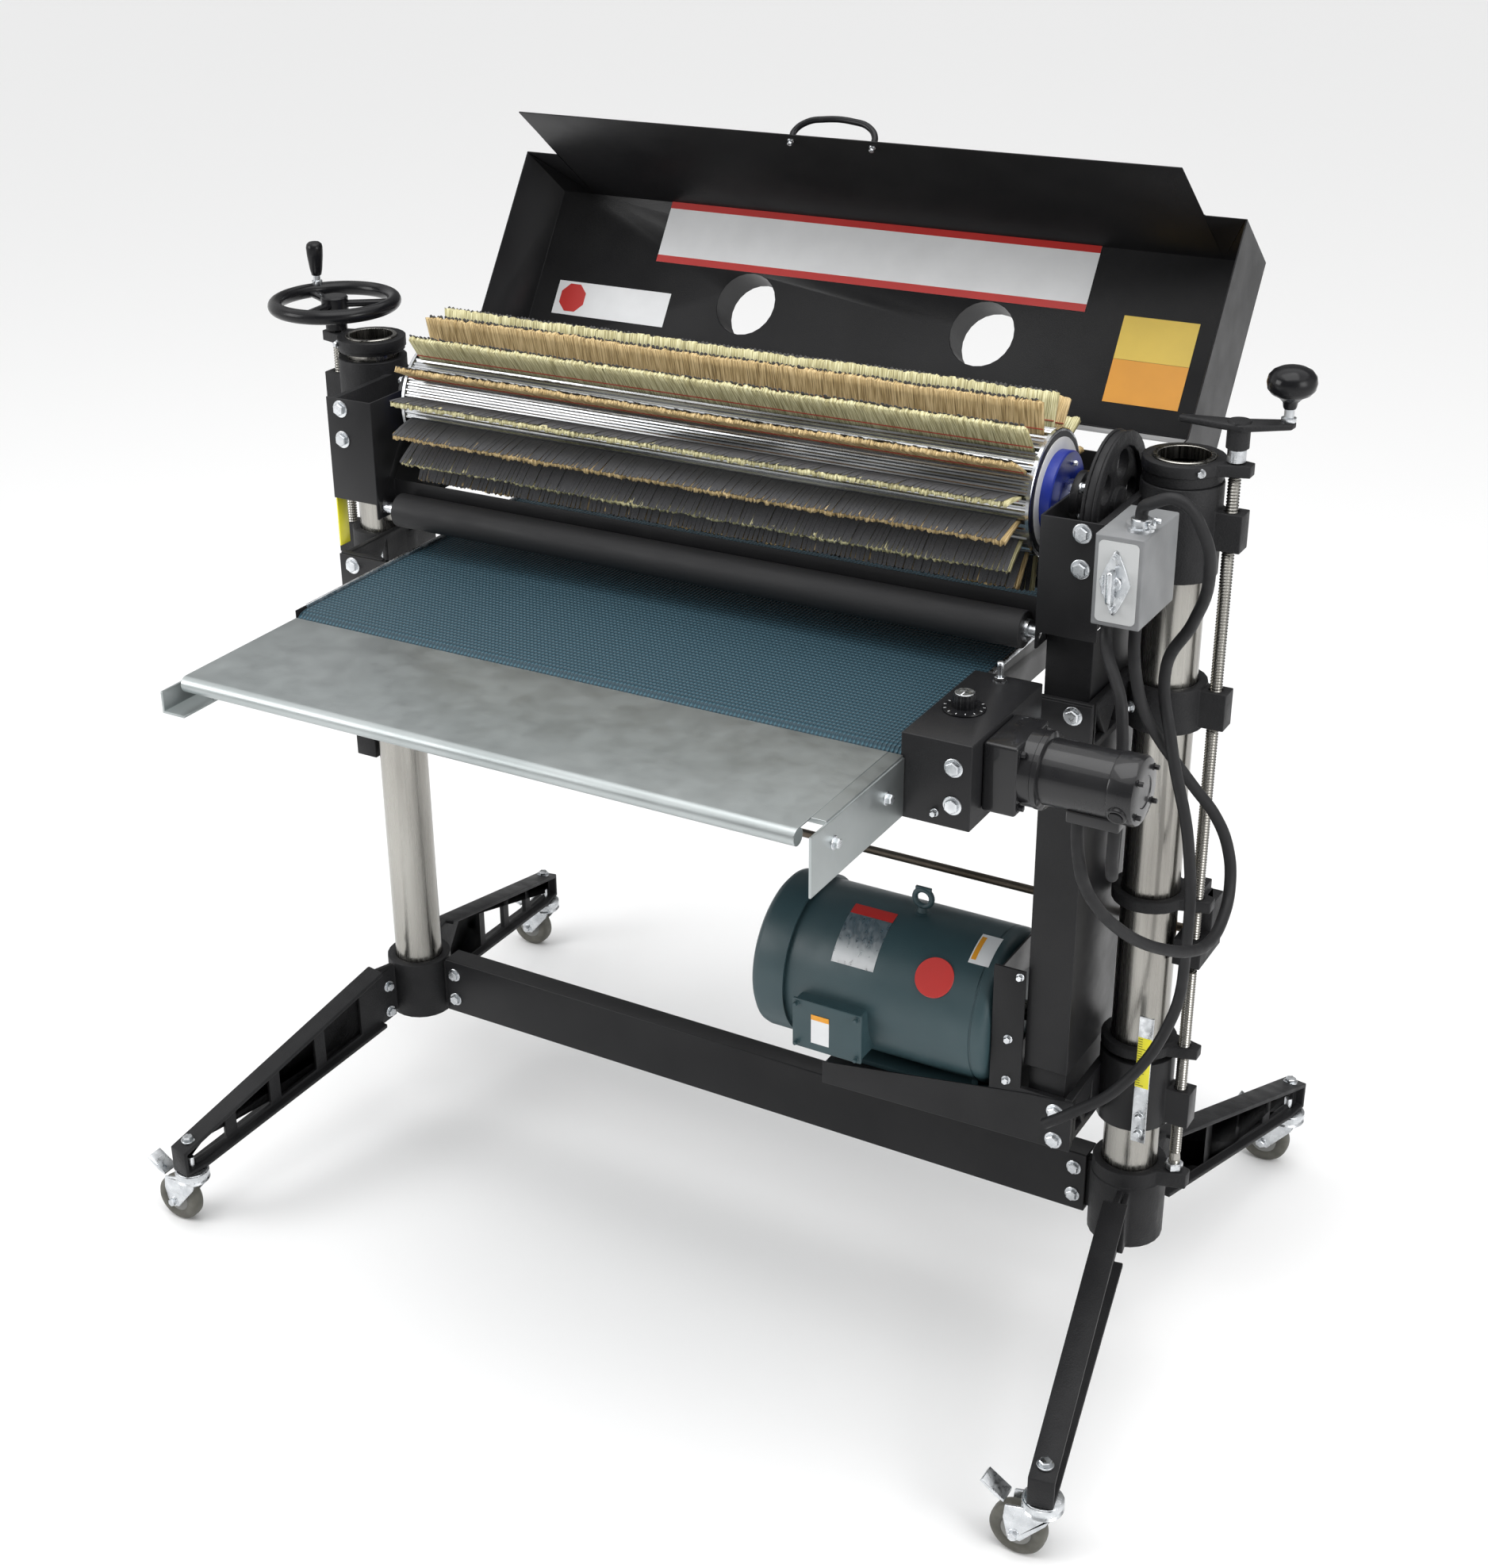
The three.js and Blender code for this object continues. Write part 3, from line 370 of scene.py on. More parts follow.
def rounded(obj, width, segments=2, angle=30, clamp=True):
    """Rounds the edges of the active piece that are sharper than an angle; the width is in millimetres."""
    edges = obj.modifiers.new("Edges", "BEVEL")
    edges.width = width / 1000
    edges.segments = segments
    edges.limit_method = "ANGLE"
    edges.angle_limit = math.radians(angle)
    edges.use_clamp_overlap = clamp
    bpy.ops.object.modifier_apply(modifier=edges.name)


def dressed(node, made, width=1.2, angle=35, segments=2, rides=True):
    """A copy of a frame node, its loose triangles merged and its edges rounded, stands for the node."""
    source = frame["nodes"][node]
    deselect()
    obj = bpy.data.objects.new(node, source.data.copy())
    scene.collection.objects.link(obj)
    pick(obj)
    bpy.ops.object.mode_set(mode="EDIT")
    bpy.ops.mesh.select_all(action="SELECT")
    bpy.ops.mesh.remove_doubles(threshold=0.00002)
    bpy.ops.mesh.dissolve_limited(angle_limit=math.radians(0.5))
    bpy.ops.object.mode_set(mode="OBJECT")
    rounded(obj, width, segments, angle, clamp=False)
    complete(obj, node + "_body", source["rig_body"] if rides else None, made, angle)
    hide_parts(node)
    return obj


for side, sign in SIDES:
    dressed(f"base_hub_{side}", casting, 1.5)
dressed("base_beam", powder, 2.0, segments=3)
for end, rear in ENDS:
    for side, sign in SIDES:
        dressed(f"leg_{end}_{side}", casting, 1.6)


# ---- hex bolts ----
# Zinc-plated hexagon bolts on flat washers hold every bracket. Each head is forged with a chamfered top.

zinc = new_finish("zinc_plate", (0.62, 0.64, 0.66), 0.3, 1)
uneven(zinc, "Roughness", 0.18, 0.42, 140, 4)
uneven(zinc, "Base Color", (0.5, 0.52, 0.54), (0.74, 0.76, 0.78), 50, 4)
bump(zinc, noise(zinc, 400, 3), 0.0003, 0.4)

FORWARD, UP, REARWARD = (0, -1, 0), (0, 0, 1), (0, 1, 0)
RIGHT, LEFT = (1, 0, 0), (-1, 0, 0)


def outwards(sign):
    """The direction away from the middle, on the machine's left (-1) or right (1)."""
    return RIGHT if sign > 0 else LEFT


def aimed(obj, place, towards):
    """Turns a piece made along +Z at the origin to a direction and moves it to its place."""
    obj.data.transform(Vector(towards).to_track_quat("Z", "Y").to_matrix().to_4x4())
    obj.data.transform(Matrix.Translation(spot(*place)))
    return obj


def at_origin(steps, sides):
    obj = turned("z", (0, 0, 0), steps, sides)
    obj.data.transform(Matrix.Translation(-spot(0, 0, 0)))
    return obj


def joined(first, *others):
    deselect()
    for obj in (*others, first):
        obj.select_set(True)
    bpy.context.view_layer.objects.active = first
    bpy.ops.object.join()
    return first


def bolt(name, body, place, towards=FORWARD, size=8.6, made=zinc):
    """A washer and a chamfered hexagon head; size is the head's half width across its corners."""
    washer = at_origin([(-0.4, size * 1.3), (1.2, size * 1.3), (1.7, size * 1.22), (1.9, size)], 32)
    steps = [(1.5, size * 0.97), (2.2, size), (6.2, size), (7.4, size * 0.84), (7.5, size * 0.5)]
    head = at_origin(steps, 6)
    obj = aimed(joined(washer, head), place, towards)
    return complete(obj, name, body, made, 25)


SPLAY = math.radians(10)  # how far each leg turns out from straight fore and aft
BOLT_REACH, LEG_SIDE = 76, 4  # from the column's axis, and from the leg's middle to its side
for side, sign in SIDES:
    for level in (197, 243):
        bolt(f"beam_bolt_{side}_{level}", "frame", (sign * 544, -8, level))
    for end, rear in ENDS:
        outward = Vector((sign * math.sin(SPLAY), rear * math.cos(SPLAY), 0))
        face = Vector((-sign * abs(outward.y), rear * math.sin(SPLAY), 0))
        for level in (184, 232):
            at = Vector((sign * COLUMN_X, 0, level)) + outward * BOLT_REACH + face * LEG_SIDE
            bolt(f"leg_bolt_{end}_{side}_{level}", "frame", at, face, 7.5)


# ---- head: sleeves, top collars and drum chassis ----
# Iron castings clamp on the columns, their bores machined bright, and a folded sheet chassis is bolted
# between them. The chassis carries the drum's flange bearings and the two pressure rollers.

DRUM_Y, DRUM_Z = -45, 1252
BEARING_X, BEARING_CIRCLE = 516, 27
ROLLER_SCREW_X = 507.934
BRACKET_BOLT = 9.5  # half width of the heads that hold the big brackets


def around(radius, turn, y=DRUM_Y, z=DRUM_Z):
    """The Y and Z of a place on a circle round an axis along X, at a turn in degrees."""
    return y + radius * math.cos(math.radians(turn)), z + radius * math.sin(math.radians(turn))


for side, sign in SIDES:
    dressed(f"head_sleeve_{side}", casting, 1.5)
    dressed(f"top_collar_{side}", casting, 1.2)
    for level in (1205, 1250):
        bolt(f"head_bolt_{side}_{level}", "frame", (sign * 558, -160, level), FORWARD, BRACKET_BOLT)
    clamp_at = (sign * (COLUMN_X - 34), -39, 1185)
    bolt(f"head_clamp_screw_{side}", "frame", clamp_at, (-0.6 * sign, -0.8, 0), 6)
    bolt(f"collar_clamp_screw_{side}", "frame", (sign * 655, -36, 1302), (0.3 * sign, -1, 0), 4.5)
dressed("drum_chassis", powder, 0.8)
for side, sign in SIDES:
    for turn in (45, 135, 225, 315):
        at = (sign * BEARING_X, *around(BEARING_CIRCLE, turn))
        bolt(f"bearing_bolt_{side}_{turn}", "frame", at, outwards(sign), 5.5)
for side, sign in SIDES:
    for end, y in (("front", -145), ("rear", 55)):
        at = (sign * ROLLER_SCREW_X, y, 1136)
        bolt(f"roller_screw_{side}_{end}", "frame", at, outwards(sign), 4.5)


# ---- drum core ----
# A polished aluminium extrusion with shallow flutes between sixteen undercut slots, closed by a black-rimmed
# end disc with a white ring. A blue hub and a large plated nut hold the right end on the through shaft.

DRUM_RADIUS, DRUM_HALF = 81, 470
STRIPS = 16
FLUTES = 16  # ring points to each strip
FLUTE_DEPTHS = [6, 0, 0, 1.6, 1.6, 0, 0, 1.6, 1.6, 0, 0, 1.6, 1.6, 0, 0, 6]

polished = new_finish("polished_aluminium", (0.82, 0.83, 0.84), 0.16, 1)
scuffs = noise(polished, 40, 6, (0.12, 1, 1))
drive(polished, "Roughness", ramp(polished, scuffs, (0.35, 0.1), (0.7, 0.34)))
swirls = noise(polished, 90, 5, (0.05, 1, 1))
drive(polished, "Base Color", ramp(polished, swirls, (0.3, (0.3, 0.31, 0.32)), (0.65, (0.6, 0.61, 0.62))))

deselect()
bpy.ops.mesh.primitive_cylinder_add(vertices=STRIPS * FLUTES, radius=1, depth=2 * DRUM_HALF / 1000,
                                    end_fill_type="NGON", rotation=(0, math.pi / 2, 0))
core = bpy.context.object
bpy.ops.object.transform_apply(location=True, rotation=True, scale=True)
for vertex in core.data.vertices:
    angle = math.atan2(vertex.co.z, vertex.co.y) / (2 * math.pi) * STRIPS - 0.5
    step = round((angle % 1) * FLUTES) % FLUTES
    radius = (DRUM_RADIUS - 1 - FLUTE_DEPTHS[step]) / 1000
    length = math.hypot(vertex.co.y, vertex.co.z)
    vertex.co.y *= radius / length
    vertex.co.z *= radius / length
core.data.transform(Matrix.Translation(spot(0, DRUM_Y, DRUM_Z)))
complete(core, "drum_core", "drum", polished, 20)

DRUM_AXIS = (0, DRUM_Y, DRUM_Z)
disc_black = new_finish("disc_black", (0.02, 0.02, 0.022), 0.3)
bump(disc_black, noise(disc_black, 300), 0.0003, 0.4)
disc_white = new_finish("disc_white", (0.78, 0.78, 0.76), 0.4)
uneven(disc_white, "Base Color", (0.7, 0.7, 0.69), (0.82, 0.82, 0.8), 30)
hub_blue = new_finish("hub_blue", (0.012, 0.03, 0.3), 0.32)
uneven(hub_blue, "Base Color", (0.009, 0.022, 0.24), (0.018, 0.045, 0.38), 25, 4)
bump(hub_blue, noise(hub_blue, 260), 0.0004, 0.35)

RIM = [(470, 80), (470.2, 81.5), (474.5, 81.5), (475.5, 80.5), (475.5, 77)]
DISC = [(474, 77.5), (476, 77.5), (476.2, 76)]
RING = [(475, 70.5), (476.9, 70.5), (477, 70)]
HUB = [(475, 54), (476, 55.5), (490, 55.5), (491.5, 54), (491.5, 30), (490, 24)]
NUT = [(489, 20.5), (491, 21.5), (502, 21.5), (503.5, 19), (503.5, 14)]
STUB = [(480, 12.5), (504, 12.5), (504.2, 16), (506, 16), (506.3, 12.4), (530, 12.4), (531, 11)]


def drum_end(steps, sign, sides=96):
    """A turned solid on the drum's axis, mirrored for the left end."""
    return turned("x", DRUM_AXIS, [(sign * place, radius) for place, radius in steps], sides)


for side, sign in SIDES:
    complete(drum_end(RIM, sign), f"drum_rim_{side}", "drum", polished)
    complete(drum_end(DISC, sign), f"drum_disc_{side}", "drum", disc_black)
    complete(drum_end(RING, sign), f"drum_ring_{side}", "drum", disc_white)
    complete(drum_end(HUB, sign), f"drum_hub_{side}", "drum", hub_blue)
    for turn in (70, 190, 310):
        at = (sign * 489.5, *around(40, turn))
        bolt(f"hub_screw_{side}_{turn}", "drum", at, outwards(sign), 3.6)
    nut = drum_end(NUT, sign, 6)
    stub = drum_end(STUB, sign, 48)
    complete(joined(nut, stub), f"drum_nut_{side}", "drum", zinc, 25)


# ---- brush strips ----
# Each strip pairs a row of stitched plant-fibre bristles with a sheet of abrasive cloth slit into narrow
# fingers. The bristles back the fingers up and show as a pale fringe past their tips; fibres alternate
# between straw and tan.

random.seed(7)
TIP, ROOT, STRIP_HALF = 127.5, DRUM_RADIUS - 4, 463
FINGER, SLIT = 6.4, 0.16
FINGERS = int(2 * STRIP_HALF / FINGER)
FINGER_COLUMNS = FINGERS * 3
TUFTS = 380
STITCH_RADIUS, STITCH_ASIDE = 88, 2.9


def fibre(name, dark, light):
    made = new_finish(name, light, 0.75)
    strands = noise(made, 1000, 2, (1, 0.03, 0.03))
    deep = tuple(c * 0.42 for c in dark)
    drive(made, "Base Color", ramp(made, strands, (0.28, deep), (0.45, dark), (0.62, light)))
    bump(made, strands, 0.0012, 0.9)
    bump(made, noise(made, 120, 3, (1, 0.1, 0.1)), 0.002, 0.5)
    return made


fibres = (fibre("fibre_tan", (0.42, 0.29, 0.12), (0.72, 0.55, 0.29)),
          fibre("fibre_straw", (0.46, 0.41, 0.2), (0.78, 0.74, 0.46)))
abrasive = new_finish("abrasive_cloth", (0.065, 0.066, 0.07), 0.8)
uneven(abrasive, "Base Color", (0.04, 0.041, 0.044), (0.1, 0.1, 0.106), 900, 2)
bump(abrasive, noise(abrasive, 1500, 2), 0.0003, 0.6)
thread_red = new_finish("red_thread", (0.3, 0.04, 0.02), 0.7)
bump(thread_red, noise(thread_red, 700, 2, (1, 0.2, 0.2)), 0.0006, 0.8)


def directions(strip):
    """The unit vectors out of the drum at a strip, and across the strip."""
    turn = (strip + 0.5) / STRIPS * 2 * math.pi
    return Vector((0, math.cos(turn), math.sin(turn))), Vector((0, -math.sin(turn), math.cos(turn)))


def sweep(obj, strip, shape):
    """Carries a flat grid, x along the drum and y from root to tip, to its strip.

    shape(x, y, z) gives how far along, out and aside a point goes. A level strip sags under its weight."""
    outward, aside = directions(strip)
    down = Vector((0, 0, -1))
    centre = spot(0, DRUM_Y, DRUM_Z)
    for vertex in obj.data.vertices:
        x, out, shift = shape(vertex.co.x, vertex.co.y, vertex.co.z)
        sag = 0.0022 * max(0, out - DRUM_RADIUS) ** 2 * abs(outward.y)
        offset = outward * out + aside * shift + down * sag
        if offset.yz.length > TIP + 1:
            offset *= (TIP + 1) / offset.yz.length
        vertex.co = centre + (offset + Vector((x, 0, 0))) / 1000


def wander(x, seed):
    """A slow uneven wave along the drum, from -1 to 1."""
    return 0.6 * math.sin(x / 61 + seed * 2.1) + 0.4 * math.sin(x / 23 + seed * 5.3)


def cloth_strip(strip, seed):
    """The slit cloth: three grid columns to a finger, with the faces between fingers taken out."""
    places = [index * FINGER for index in range(FINGERS + 1)]
    lean = [3 * wander(place, seed) + random.uniform(-0.7, 0.7) for place in places]
    reach = [random.uniform(-1.2, 0.6) - abs(wander(place, seed + 3)) for place in places]
    lift = [random.uniform(-0.5, 0.5) for place in places]
    deselect()
    bpy.ops.mesh.primitive_grid_add(x_subdivisions=FINGER_COLUMNS - 1, y_subdivisions=5, size=1)
    cloth = bpy.context.object
    pitch = 1 / (FINGER_COLUMNS - 1)
    for vertex in cloth.data.vertices:
        vertex.select = False
    for edge in cloth.data.edges:
        edge.select = False
    for face in cloth.data.polygons:
        face.select = abs((face.center.x + 0.5) / pitch % 3 - 2.5) < 0.4
    bpy.ops.object.mode_set(mode="EDIT")
    bpy.ops.mesh.select_mode(type="FACE")
    bpy.ops.mesh.delete(type="ONLY_FACE")
    bpy.ops.object.mode_set(mode="OBJECT")

    def finger(x, y, z):
        index, part = divmod(round((x + 0.5) / pitch), 3)
        level = y + 0.5
        at_tip = level > 0.95
        centre = -STRIP_HALF + (index + 0.5) * FINGER + lean[index] * level ** 1.6
        across = (part - 1) * (FINGER / 2 - SLIT) * (0.82 if level >= 0.95 else 1)
        out = ROOT + (TIP - 2.2 + reach[index] - ROOT) * level + (1.8 if part == 1 and at_tip else 0)
        return centre + across, out, -2.4 - 1.3 * level + lift[index] * level * 2

    sweep(cloth, strip, finger)
    pick(cloth)
    sheet = cloth.modifiers.new("Sheet", "SOLIDIFY")
    sheet.thickness = 0.0006
    bpy.ops.object.modifier_apply(modifier=sheet.name)
    complete(cloth, f"abrasive_{strip}", "drum", abrasive, 30)


def bristle_strip(strip, seed):
    """The fibre behind the cloth: a thick grid whose columns end unevenly, as tufts."""
    deselect()
    bpy.ops.mesh.primitive_grid_add(x_subdivisions=TUFTS, y_subdivisions=4, size=1)
    brush = bpy.context.object
    bulk = brush.modifiers.new("Bulk", "SOLIDIFY")
    bulk.thickness = 4.6
    bulk.offset = 1
    bpy.ops.object.modifier_apply(modifier=bulk.name)
    tips = {}

    def bristle(x, y, z):
        level = y + 0.5
        key = (round((x + 0.5) * TUFTS), round(z, 2))
        if key not in tips:
            tips[key] = (random.uniform(-2.6, 1.4), random.uniform(-1.1, 1.1), random.uniform(-0.9, 0.9))
        short, along, thick = tips[key]
        length = 2 * STRIP_HALF
        place = x * length + (2.2 * wander(x * length, seed) + along) * level ** 2
        out = ROOT + (TIP - 3.4 + 1.2 * wander(x * length, seed + 5) - ROOT + short) * level
        swell = 0.75 + 0.55 * level
        return place, out, -1.6 - 1.0 * level + abs(z) * swell + thick * level * 1.6

    sweep(brush, strip, bristle)
    complete(brush, f"bristles_{strip}", "drum", fibres[strip % 2], 180)


for strip in range(STRIPS):
    seed = random.uniform(0, 9)
    cloth_strip(strip, seed)
    bristle_strip(strip, seed)
    deselect()
    bpy.ops.mesh.primitive_cylinder_add(vertices=8, radius=0.0008, depth=2 * STRIP_HALF / 1000,
                                        rotation=(0, math.pi / 2, 0))
    stitch = bpy.context.object
    bpy.ops.object.transform_apply(location=True, rotation=True, scale=True)
    outward, aside = directions(strip)
    seam = outward * STITCH_RADIUS + aside * STITCH_ASIDE
    stitch.data.transform(Matrix.Translation(spot(0, DRUM_Y + seam.y, DRUM_Z + seam.z)))
    complete(stitch, f"stitching_{strip}", "drum", thread_red)
    if strip == 0:
        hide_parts("brush_drum")


# ---- drum pulley and drive belt ----
# A cast spoked pulley on the drum's right end, driven by a black rubber V-belt that drops into the guard.

dressed("drum_pulley", casting, 1.0)
drive_belt = dressed("drive_belt", rubber, 0.6, rides=False)
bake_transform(drive_belt)
dressed("motor_pulley", casting, 0.8)


# ---- pressure rollers ----
# Steel rollers covered in black rubber hold the board down in front of and behind the drum. Bright steel ends
# show in the chassis's bushes.

ROLLER_COVER = [(-475, 20), (-475, 23), (-474, 24), (485, 24), (486, 23), (486, 20)]
ROLLER_SHAFT = [(-503.5, 7), (-503, 8), (-480, 8), (-479.5, 14), (-474, 14), (485, 14), (492, 14), (492.5, 8),
                (503, 8), (503.5, 7)]
roller_rubber = new_finish("roller_rubber", (0.02, 0.02, 0.021), 0.55)
uneven(roller_rubber, "Roughness", 0.45, 0.65, 70, 4, (0.2, 1, 1))
bump(roller_rubber, noise(roller_rubber, 700, 2), 0.0004, 0.4)
for name, y in (("front", -145), ("rear", 55)):
    centre = (0, y, 1108)
    cover = turned("x", centre, ROLLER_COVER, 64)
    complete(cover, f"{name}_roller_cover", f"{name}_roller", roller_rubber)
    shaft = turned("x", centre, ROLLER_SHAFT, 48)
    complete(shaft, f"{name}_roller_shaft", f"{name}_roller", zinc)
    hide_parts(f"{name}_pressure_roller")


# ---- hood ----
# A folded sheet-steel dust hood, open on its rear hinge pins, with a lip along its free edge and two welded
# hose ports. Its painted inner face carries three blank stickers, and a bent bail with two screws is its
# handle.

dressed("hood", powder, 0.7, segments=1)
BACK_BOTTOM, BACK_FOLD, LIP_TIP = Vector((300, 1224)), Vector((444, 1443)), Vector((245, 1601))
up_panel = (BACK_FOLD - BACK_BOTTOM).normalized()
inward = Vector((-up_panel.y, up_panel.x))
SHEET = 2.1  # from the panel's outside to its painted inner face


def on_panel(obj, x, up, lift):
    """Lays a flat piece on the hood's inner face, so far up it and so far off the sheet."""
    place = BACK_BOTTOM + up_panel * up + inward * (SHEET + lift)
    obj.data.transform(Matrix(((1, 0, 0), (0, up_panel.x, inward.x), (0, up_panel.y, inward.y))).to_4x4())
    obj.data.transform(Matrix.Translation(spot(x, place.x, place.y)))
    return obj


def sticker(name, made, low, high, up_from, up_to, lift=0.35):
    """A thin vinyl sheet on the hood's inner face, low to high across it and up_from to up_to along it."""
    deselect()
    bpy.ops.mesh.primitive_cube_add(size=1)
    vinyl = bpy.context.object
    vinyl.scale = ((high - low) / 1000, (up_to - up_from) / 1000, 0.0004)
    bpy.ops.object.transform_apply(location=True, rotation=True, scale=True)
    on_panel(vinyl, (low + high) / 2, (up_from + up_to) / 2, lift)
    complete(vinyl, name, "hood", made)


def vinyl_finish(name, colour):
    made = new_finish(name, colour, 0.35)
    uneven(made, "Base Color", tuple(c * 0.93 for c in colour), colour, 20)
    bump(made, noise(made, 500, 2), 0.0002, 0.3)
    return made


vinyl_white = vinyl_finish("vinyl_white", (0.83, 0.84, 0.85))
vinyl_red = vinyl_finish("vinyl_red", (0.55, 0.03, 0.025))
vinyl_yellow = vinyl_finish("vinyl_yellow", (0.85, 0.6, 0.08))
vinyl_orange = vinyl_finish("vinyl_orange", (0.85, 0.36, 0.02))
sticker("banner", vinyl_white, -364, 334, 164, 262)
sticker("banner_top_stripe", vinyl_red, -364, 334, 250, 262, 0.7)
sticker("banner_low_stripe", vinyl_red, -364, 334, 164, 175, 0.7)
sticker("notice_upper", vinyl_yellow, 392, 500, 104, 166)
sticker("notice_lower", vinyl_orange, 392, 500, 42, 103.6)
sticker("small_notice", vinyl_white, -525, -322, 62, 116)

deselect()
bpy.ops.mesh.primitive_cylinder_add(vertices=8, radius=0.024, depth=0.0004,
                                    rotation=(0, 0, math.pi / 8))
mark = bpy.context.object
bpy.ops.object.transform_apply(location=True, rotation=True, scale=True)
complete(on_panel(mark, -494, 90, 0.8), "small_notice_mark", "hood", vinyl_red)

lip_along = (LIP_TIP - BACK_FOLD).normalized()
lip_out = Vector((-lip_along.y, lip_along.x)) * -1
HANDLE_INSET = 14  # from the lip's free edge to the handle
grip_black = new_finish("grip_black", (0.008, 0.008, 0.009), 0.22)
uneven(grip_black, "Roughness", 0.16, 0.32, 40)
bump(grip_black, noise(grip_black, 200, 2), 0.0003, 0.25)
BAIL = ((-58, 1), (-57, 12), (-44, 26), (-18, 33), (28, 33), (54, 26), (67, 12), (68, 1))
bends = []
for x, out in BAIL:
    place = LIP_TIP - lip_along * HANDLE_INSET + lip_out * out
    bends.append(spot(x, place.x, place.y))
bail, knots = curved("bail", bends, 0.0045, 12, 6)
pick(bail)
bpy.ops.object.convert(target="MESH")
complete(bail, "hood_bail", "hood", grip_black, 60)
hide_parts("hood_handle")
for x in (-58, 68):
    place = LIP_TIP - lip_along * HANDLE_INSET - lip_out * 1.9
    bolt(f"bail_screw_{x}", "hood", (x, place.x, place.y), (0, -lip_out.x, -lip_out.y), 3.6)
for side, sign in SIDES:
    bolt(f"hood_pin_{side}", "frame", (sign * 567, 147, 1255), outwards(sign), 6)


# ---- lift screws, handwheel and crank ----
# Threaded steel lift screws run through nuts in the sleeves. The left one ends in a three-spoked moulded
# handwheel with a turning grip, the right one in a cast crank with a mushroom knob.

SCREW_X, SCREW_RADIUS, PITCH = 685, 8, 4
THREAD_ROOT = 0.84  # of the radius


def threaded(name, body, x, low, high, smooth_to=None):
    """A screw with a rolled thread, made as one pitch and repeated along the rod."""
    deselect()
    bpy.ops.mesh.primitive_cylinder_add(vertices=24, radius=SCREW_RADIUS / 1000, depth=PITCH / 1000,
                                        end_fill_type="NOTHING")
    rod = bpy.context.object
    bpy.ops.object.mode_set(mode="EDIT")
    bpy.ops.mesh.select_all(action="SELECT")
    bpy.ops.mesh.bisect(plane_co=(0, 0, 0), plane_no=(0, 0, 1))
    bpy.ops.object.mode_set(mode="OBJECT")
    for vertex in rod.data.vertices:
        if abs(vertex.co.z) < 0.0001:
            vertex.co.x *= THREAD_ROOT
            vertex.co.y *= THREAD_ROOT
    start = smooth_to or low
    repeat = rod.modifiers.new("Repeat", "ARRAY")
    repeat.use_relative_offset = False
    repeat.use_constant_offset = True
    repeat.constant_offset_displace = (0, 0, PITCH / 1000)
    repeat.count = int((high - start) / PITCH)
    repeat.use_merge_vertices = True
    bpy.ops.object.modifier_apply(modifier=repeat.name)
    rod.data.transform(Matrix.Translation(spot(x, 0, start + PITCH / 2)))
    steps = [(low, 6.5), (low + 1, 7.4), (start, 7.4), (start + 1, 6.4), (high - 1, 6.4), (high, 5)]
    plain = turned("z", (x, 0, 0), steps, 24)
    return complete(joined(rod, plain), name, body, ground_steel, 25)


threaded("lift_screw_left", "handwheel", -SCREW_X, 640, 1311)
threaded("lift_screw_right", "crank", SCREW_X, 640, 1311)

WHEEL_Z = 1352
SPOKE = (0.074, 0.015, 0.009)
deselect()
bpy.ops.mesh.primitive_torus_add(major_segments=96, minor_segments=20, major_radius=0.088,
                                 minor_radius=0.0105, location=spot(-SCREW_X, 0, WHEEL_Z))
rim = bpy.context.object
bpy.ops.object.transform_apply(location=True, rotation=True, scale=True)
WHEEL_HUB = [(1312, 14), (1313, 16), (1338, 16), (1340, 20), (1360, 20), (1362, 18), (1362, 9)]
parts = [turned("z", (-SCREW_X, 0, 0), WHEEL_HUB, 48)]
for spoke in range(3):
    turn = math.pi * 0.85 + spoke * 2 * math.pi / 3
    deselect()
    bpy.ops.mesh.primitive_cube_add(size=1)
    bar = bpy.context.object
    bar.scale = SPOKE
    bpy.ops.object.transform_apply(location=True, rotation=True, scale=True)
    rounded(bar, 3.5, 3)
    bar.data.transform(Matrix.Translation((0.048, 0, 0)))
    bar.data.transform(Matrix.Rotation(turn, 4, "Z"))
    bar.data.transform(Matrix.Translation(spot(-SCREW_X, 0, WHEEL_Z - 2)))
    parts.append(bar)
wheel = complete(joined(rim, *parts), "handwheel", "handwheel", grip_black, 40)
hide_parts("handwheel_screw_left")
GRIP_AT = (-SCREW_X - 72, 50, 0)
GRIP = [(1374, 6), (1375, 7.5), (1384, 9.5), (1404, 12), (1416, 12.6), (1421, 11.5), (1424, 8), (1425, 3)]
complete(turned("z", GRIP_AT, GRIP, 32), "handwheel_grip", "handwheel", grip_black, 60)
stem = turned("z", GRIP_AT, [(1358, 7), (1360, 8), (1366, 8), (1367, 5.5), (1376, 5.5)], 24)
complete(stem, "handwheel_grip_stem", "handwheel", zinc)

ARM_Z, ARM_THICK = 1352, 0.0085
ARM = ((-74, -6), (-20, -14), (8, -16), (58, 19), (59, 32), (47, 37), (-6, 15), (-72, 4))
deselect()
bpy.ops.mesh.primitive_circle_add(vertices=len(ARM), radius=1, fill_type="NGON")
arm = bpy.context.object
for vertex, (x, y) in zip(arm.data.vertices, ARM):
    vertex.co = spot(SCREW_X + x, y, ARM_Z)
bpy.ops.object.mode_set(mode="EDIT")
bpy.ops.mesh.select_all(action="SELECT")
bpy.ops.mesh.extrude_region_move(TRANSFORM_OT_translate={"value": (0, 0, ARM_THICK)})
bpy.ops.mesh.select_all(action="SELECT")
bpy.ops.mesh.normals_make_consistent(inside=False)
bpy.ops.object.mode_set(mode="OBJECT")
rounded(arm, 2.5, 3)
BOSS = [(1328, 12), (1329, 14), (1350, 14), (1360, 15), (1363, 13), (1363, 6)]
boss = turned("z", (SCREW_X, 0, 0), BOSS, 48)
crank = complete(joined(arm, boss), "crank_arm", "crank", casting, 40)
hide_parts("crank_screw_right")
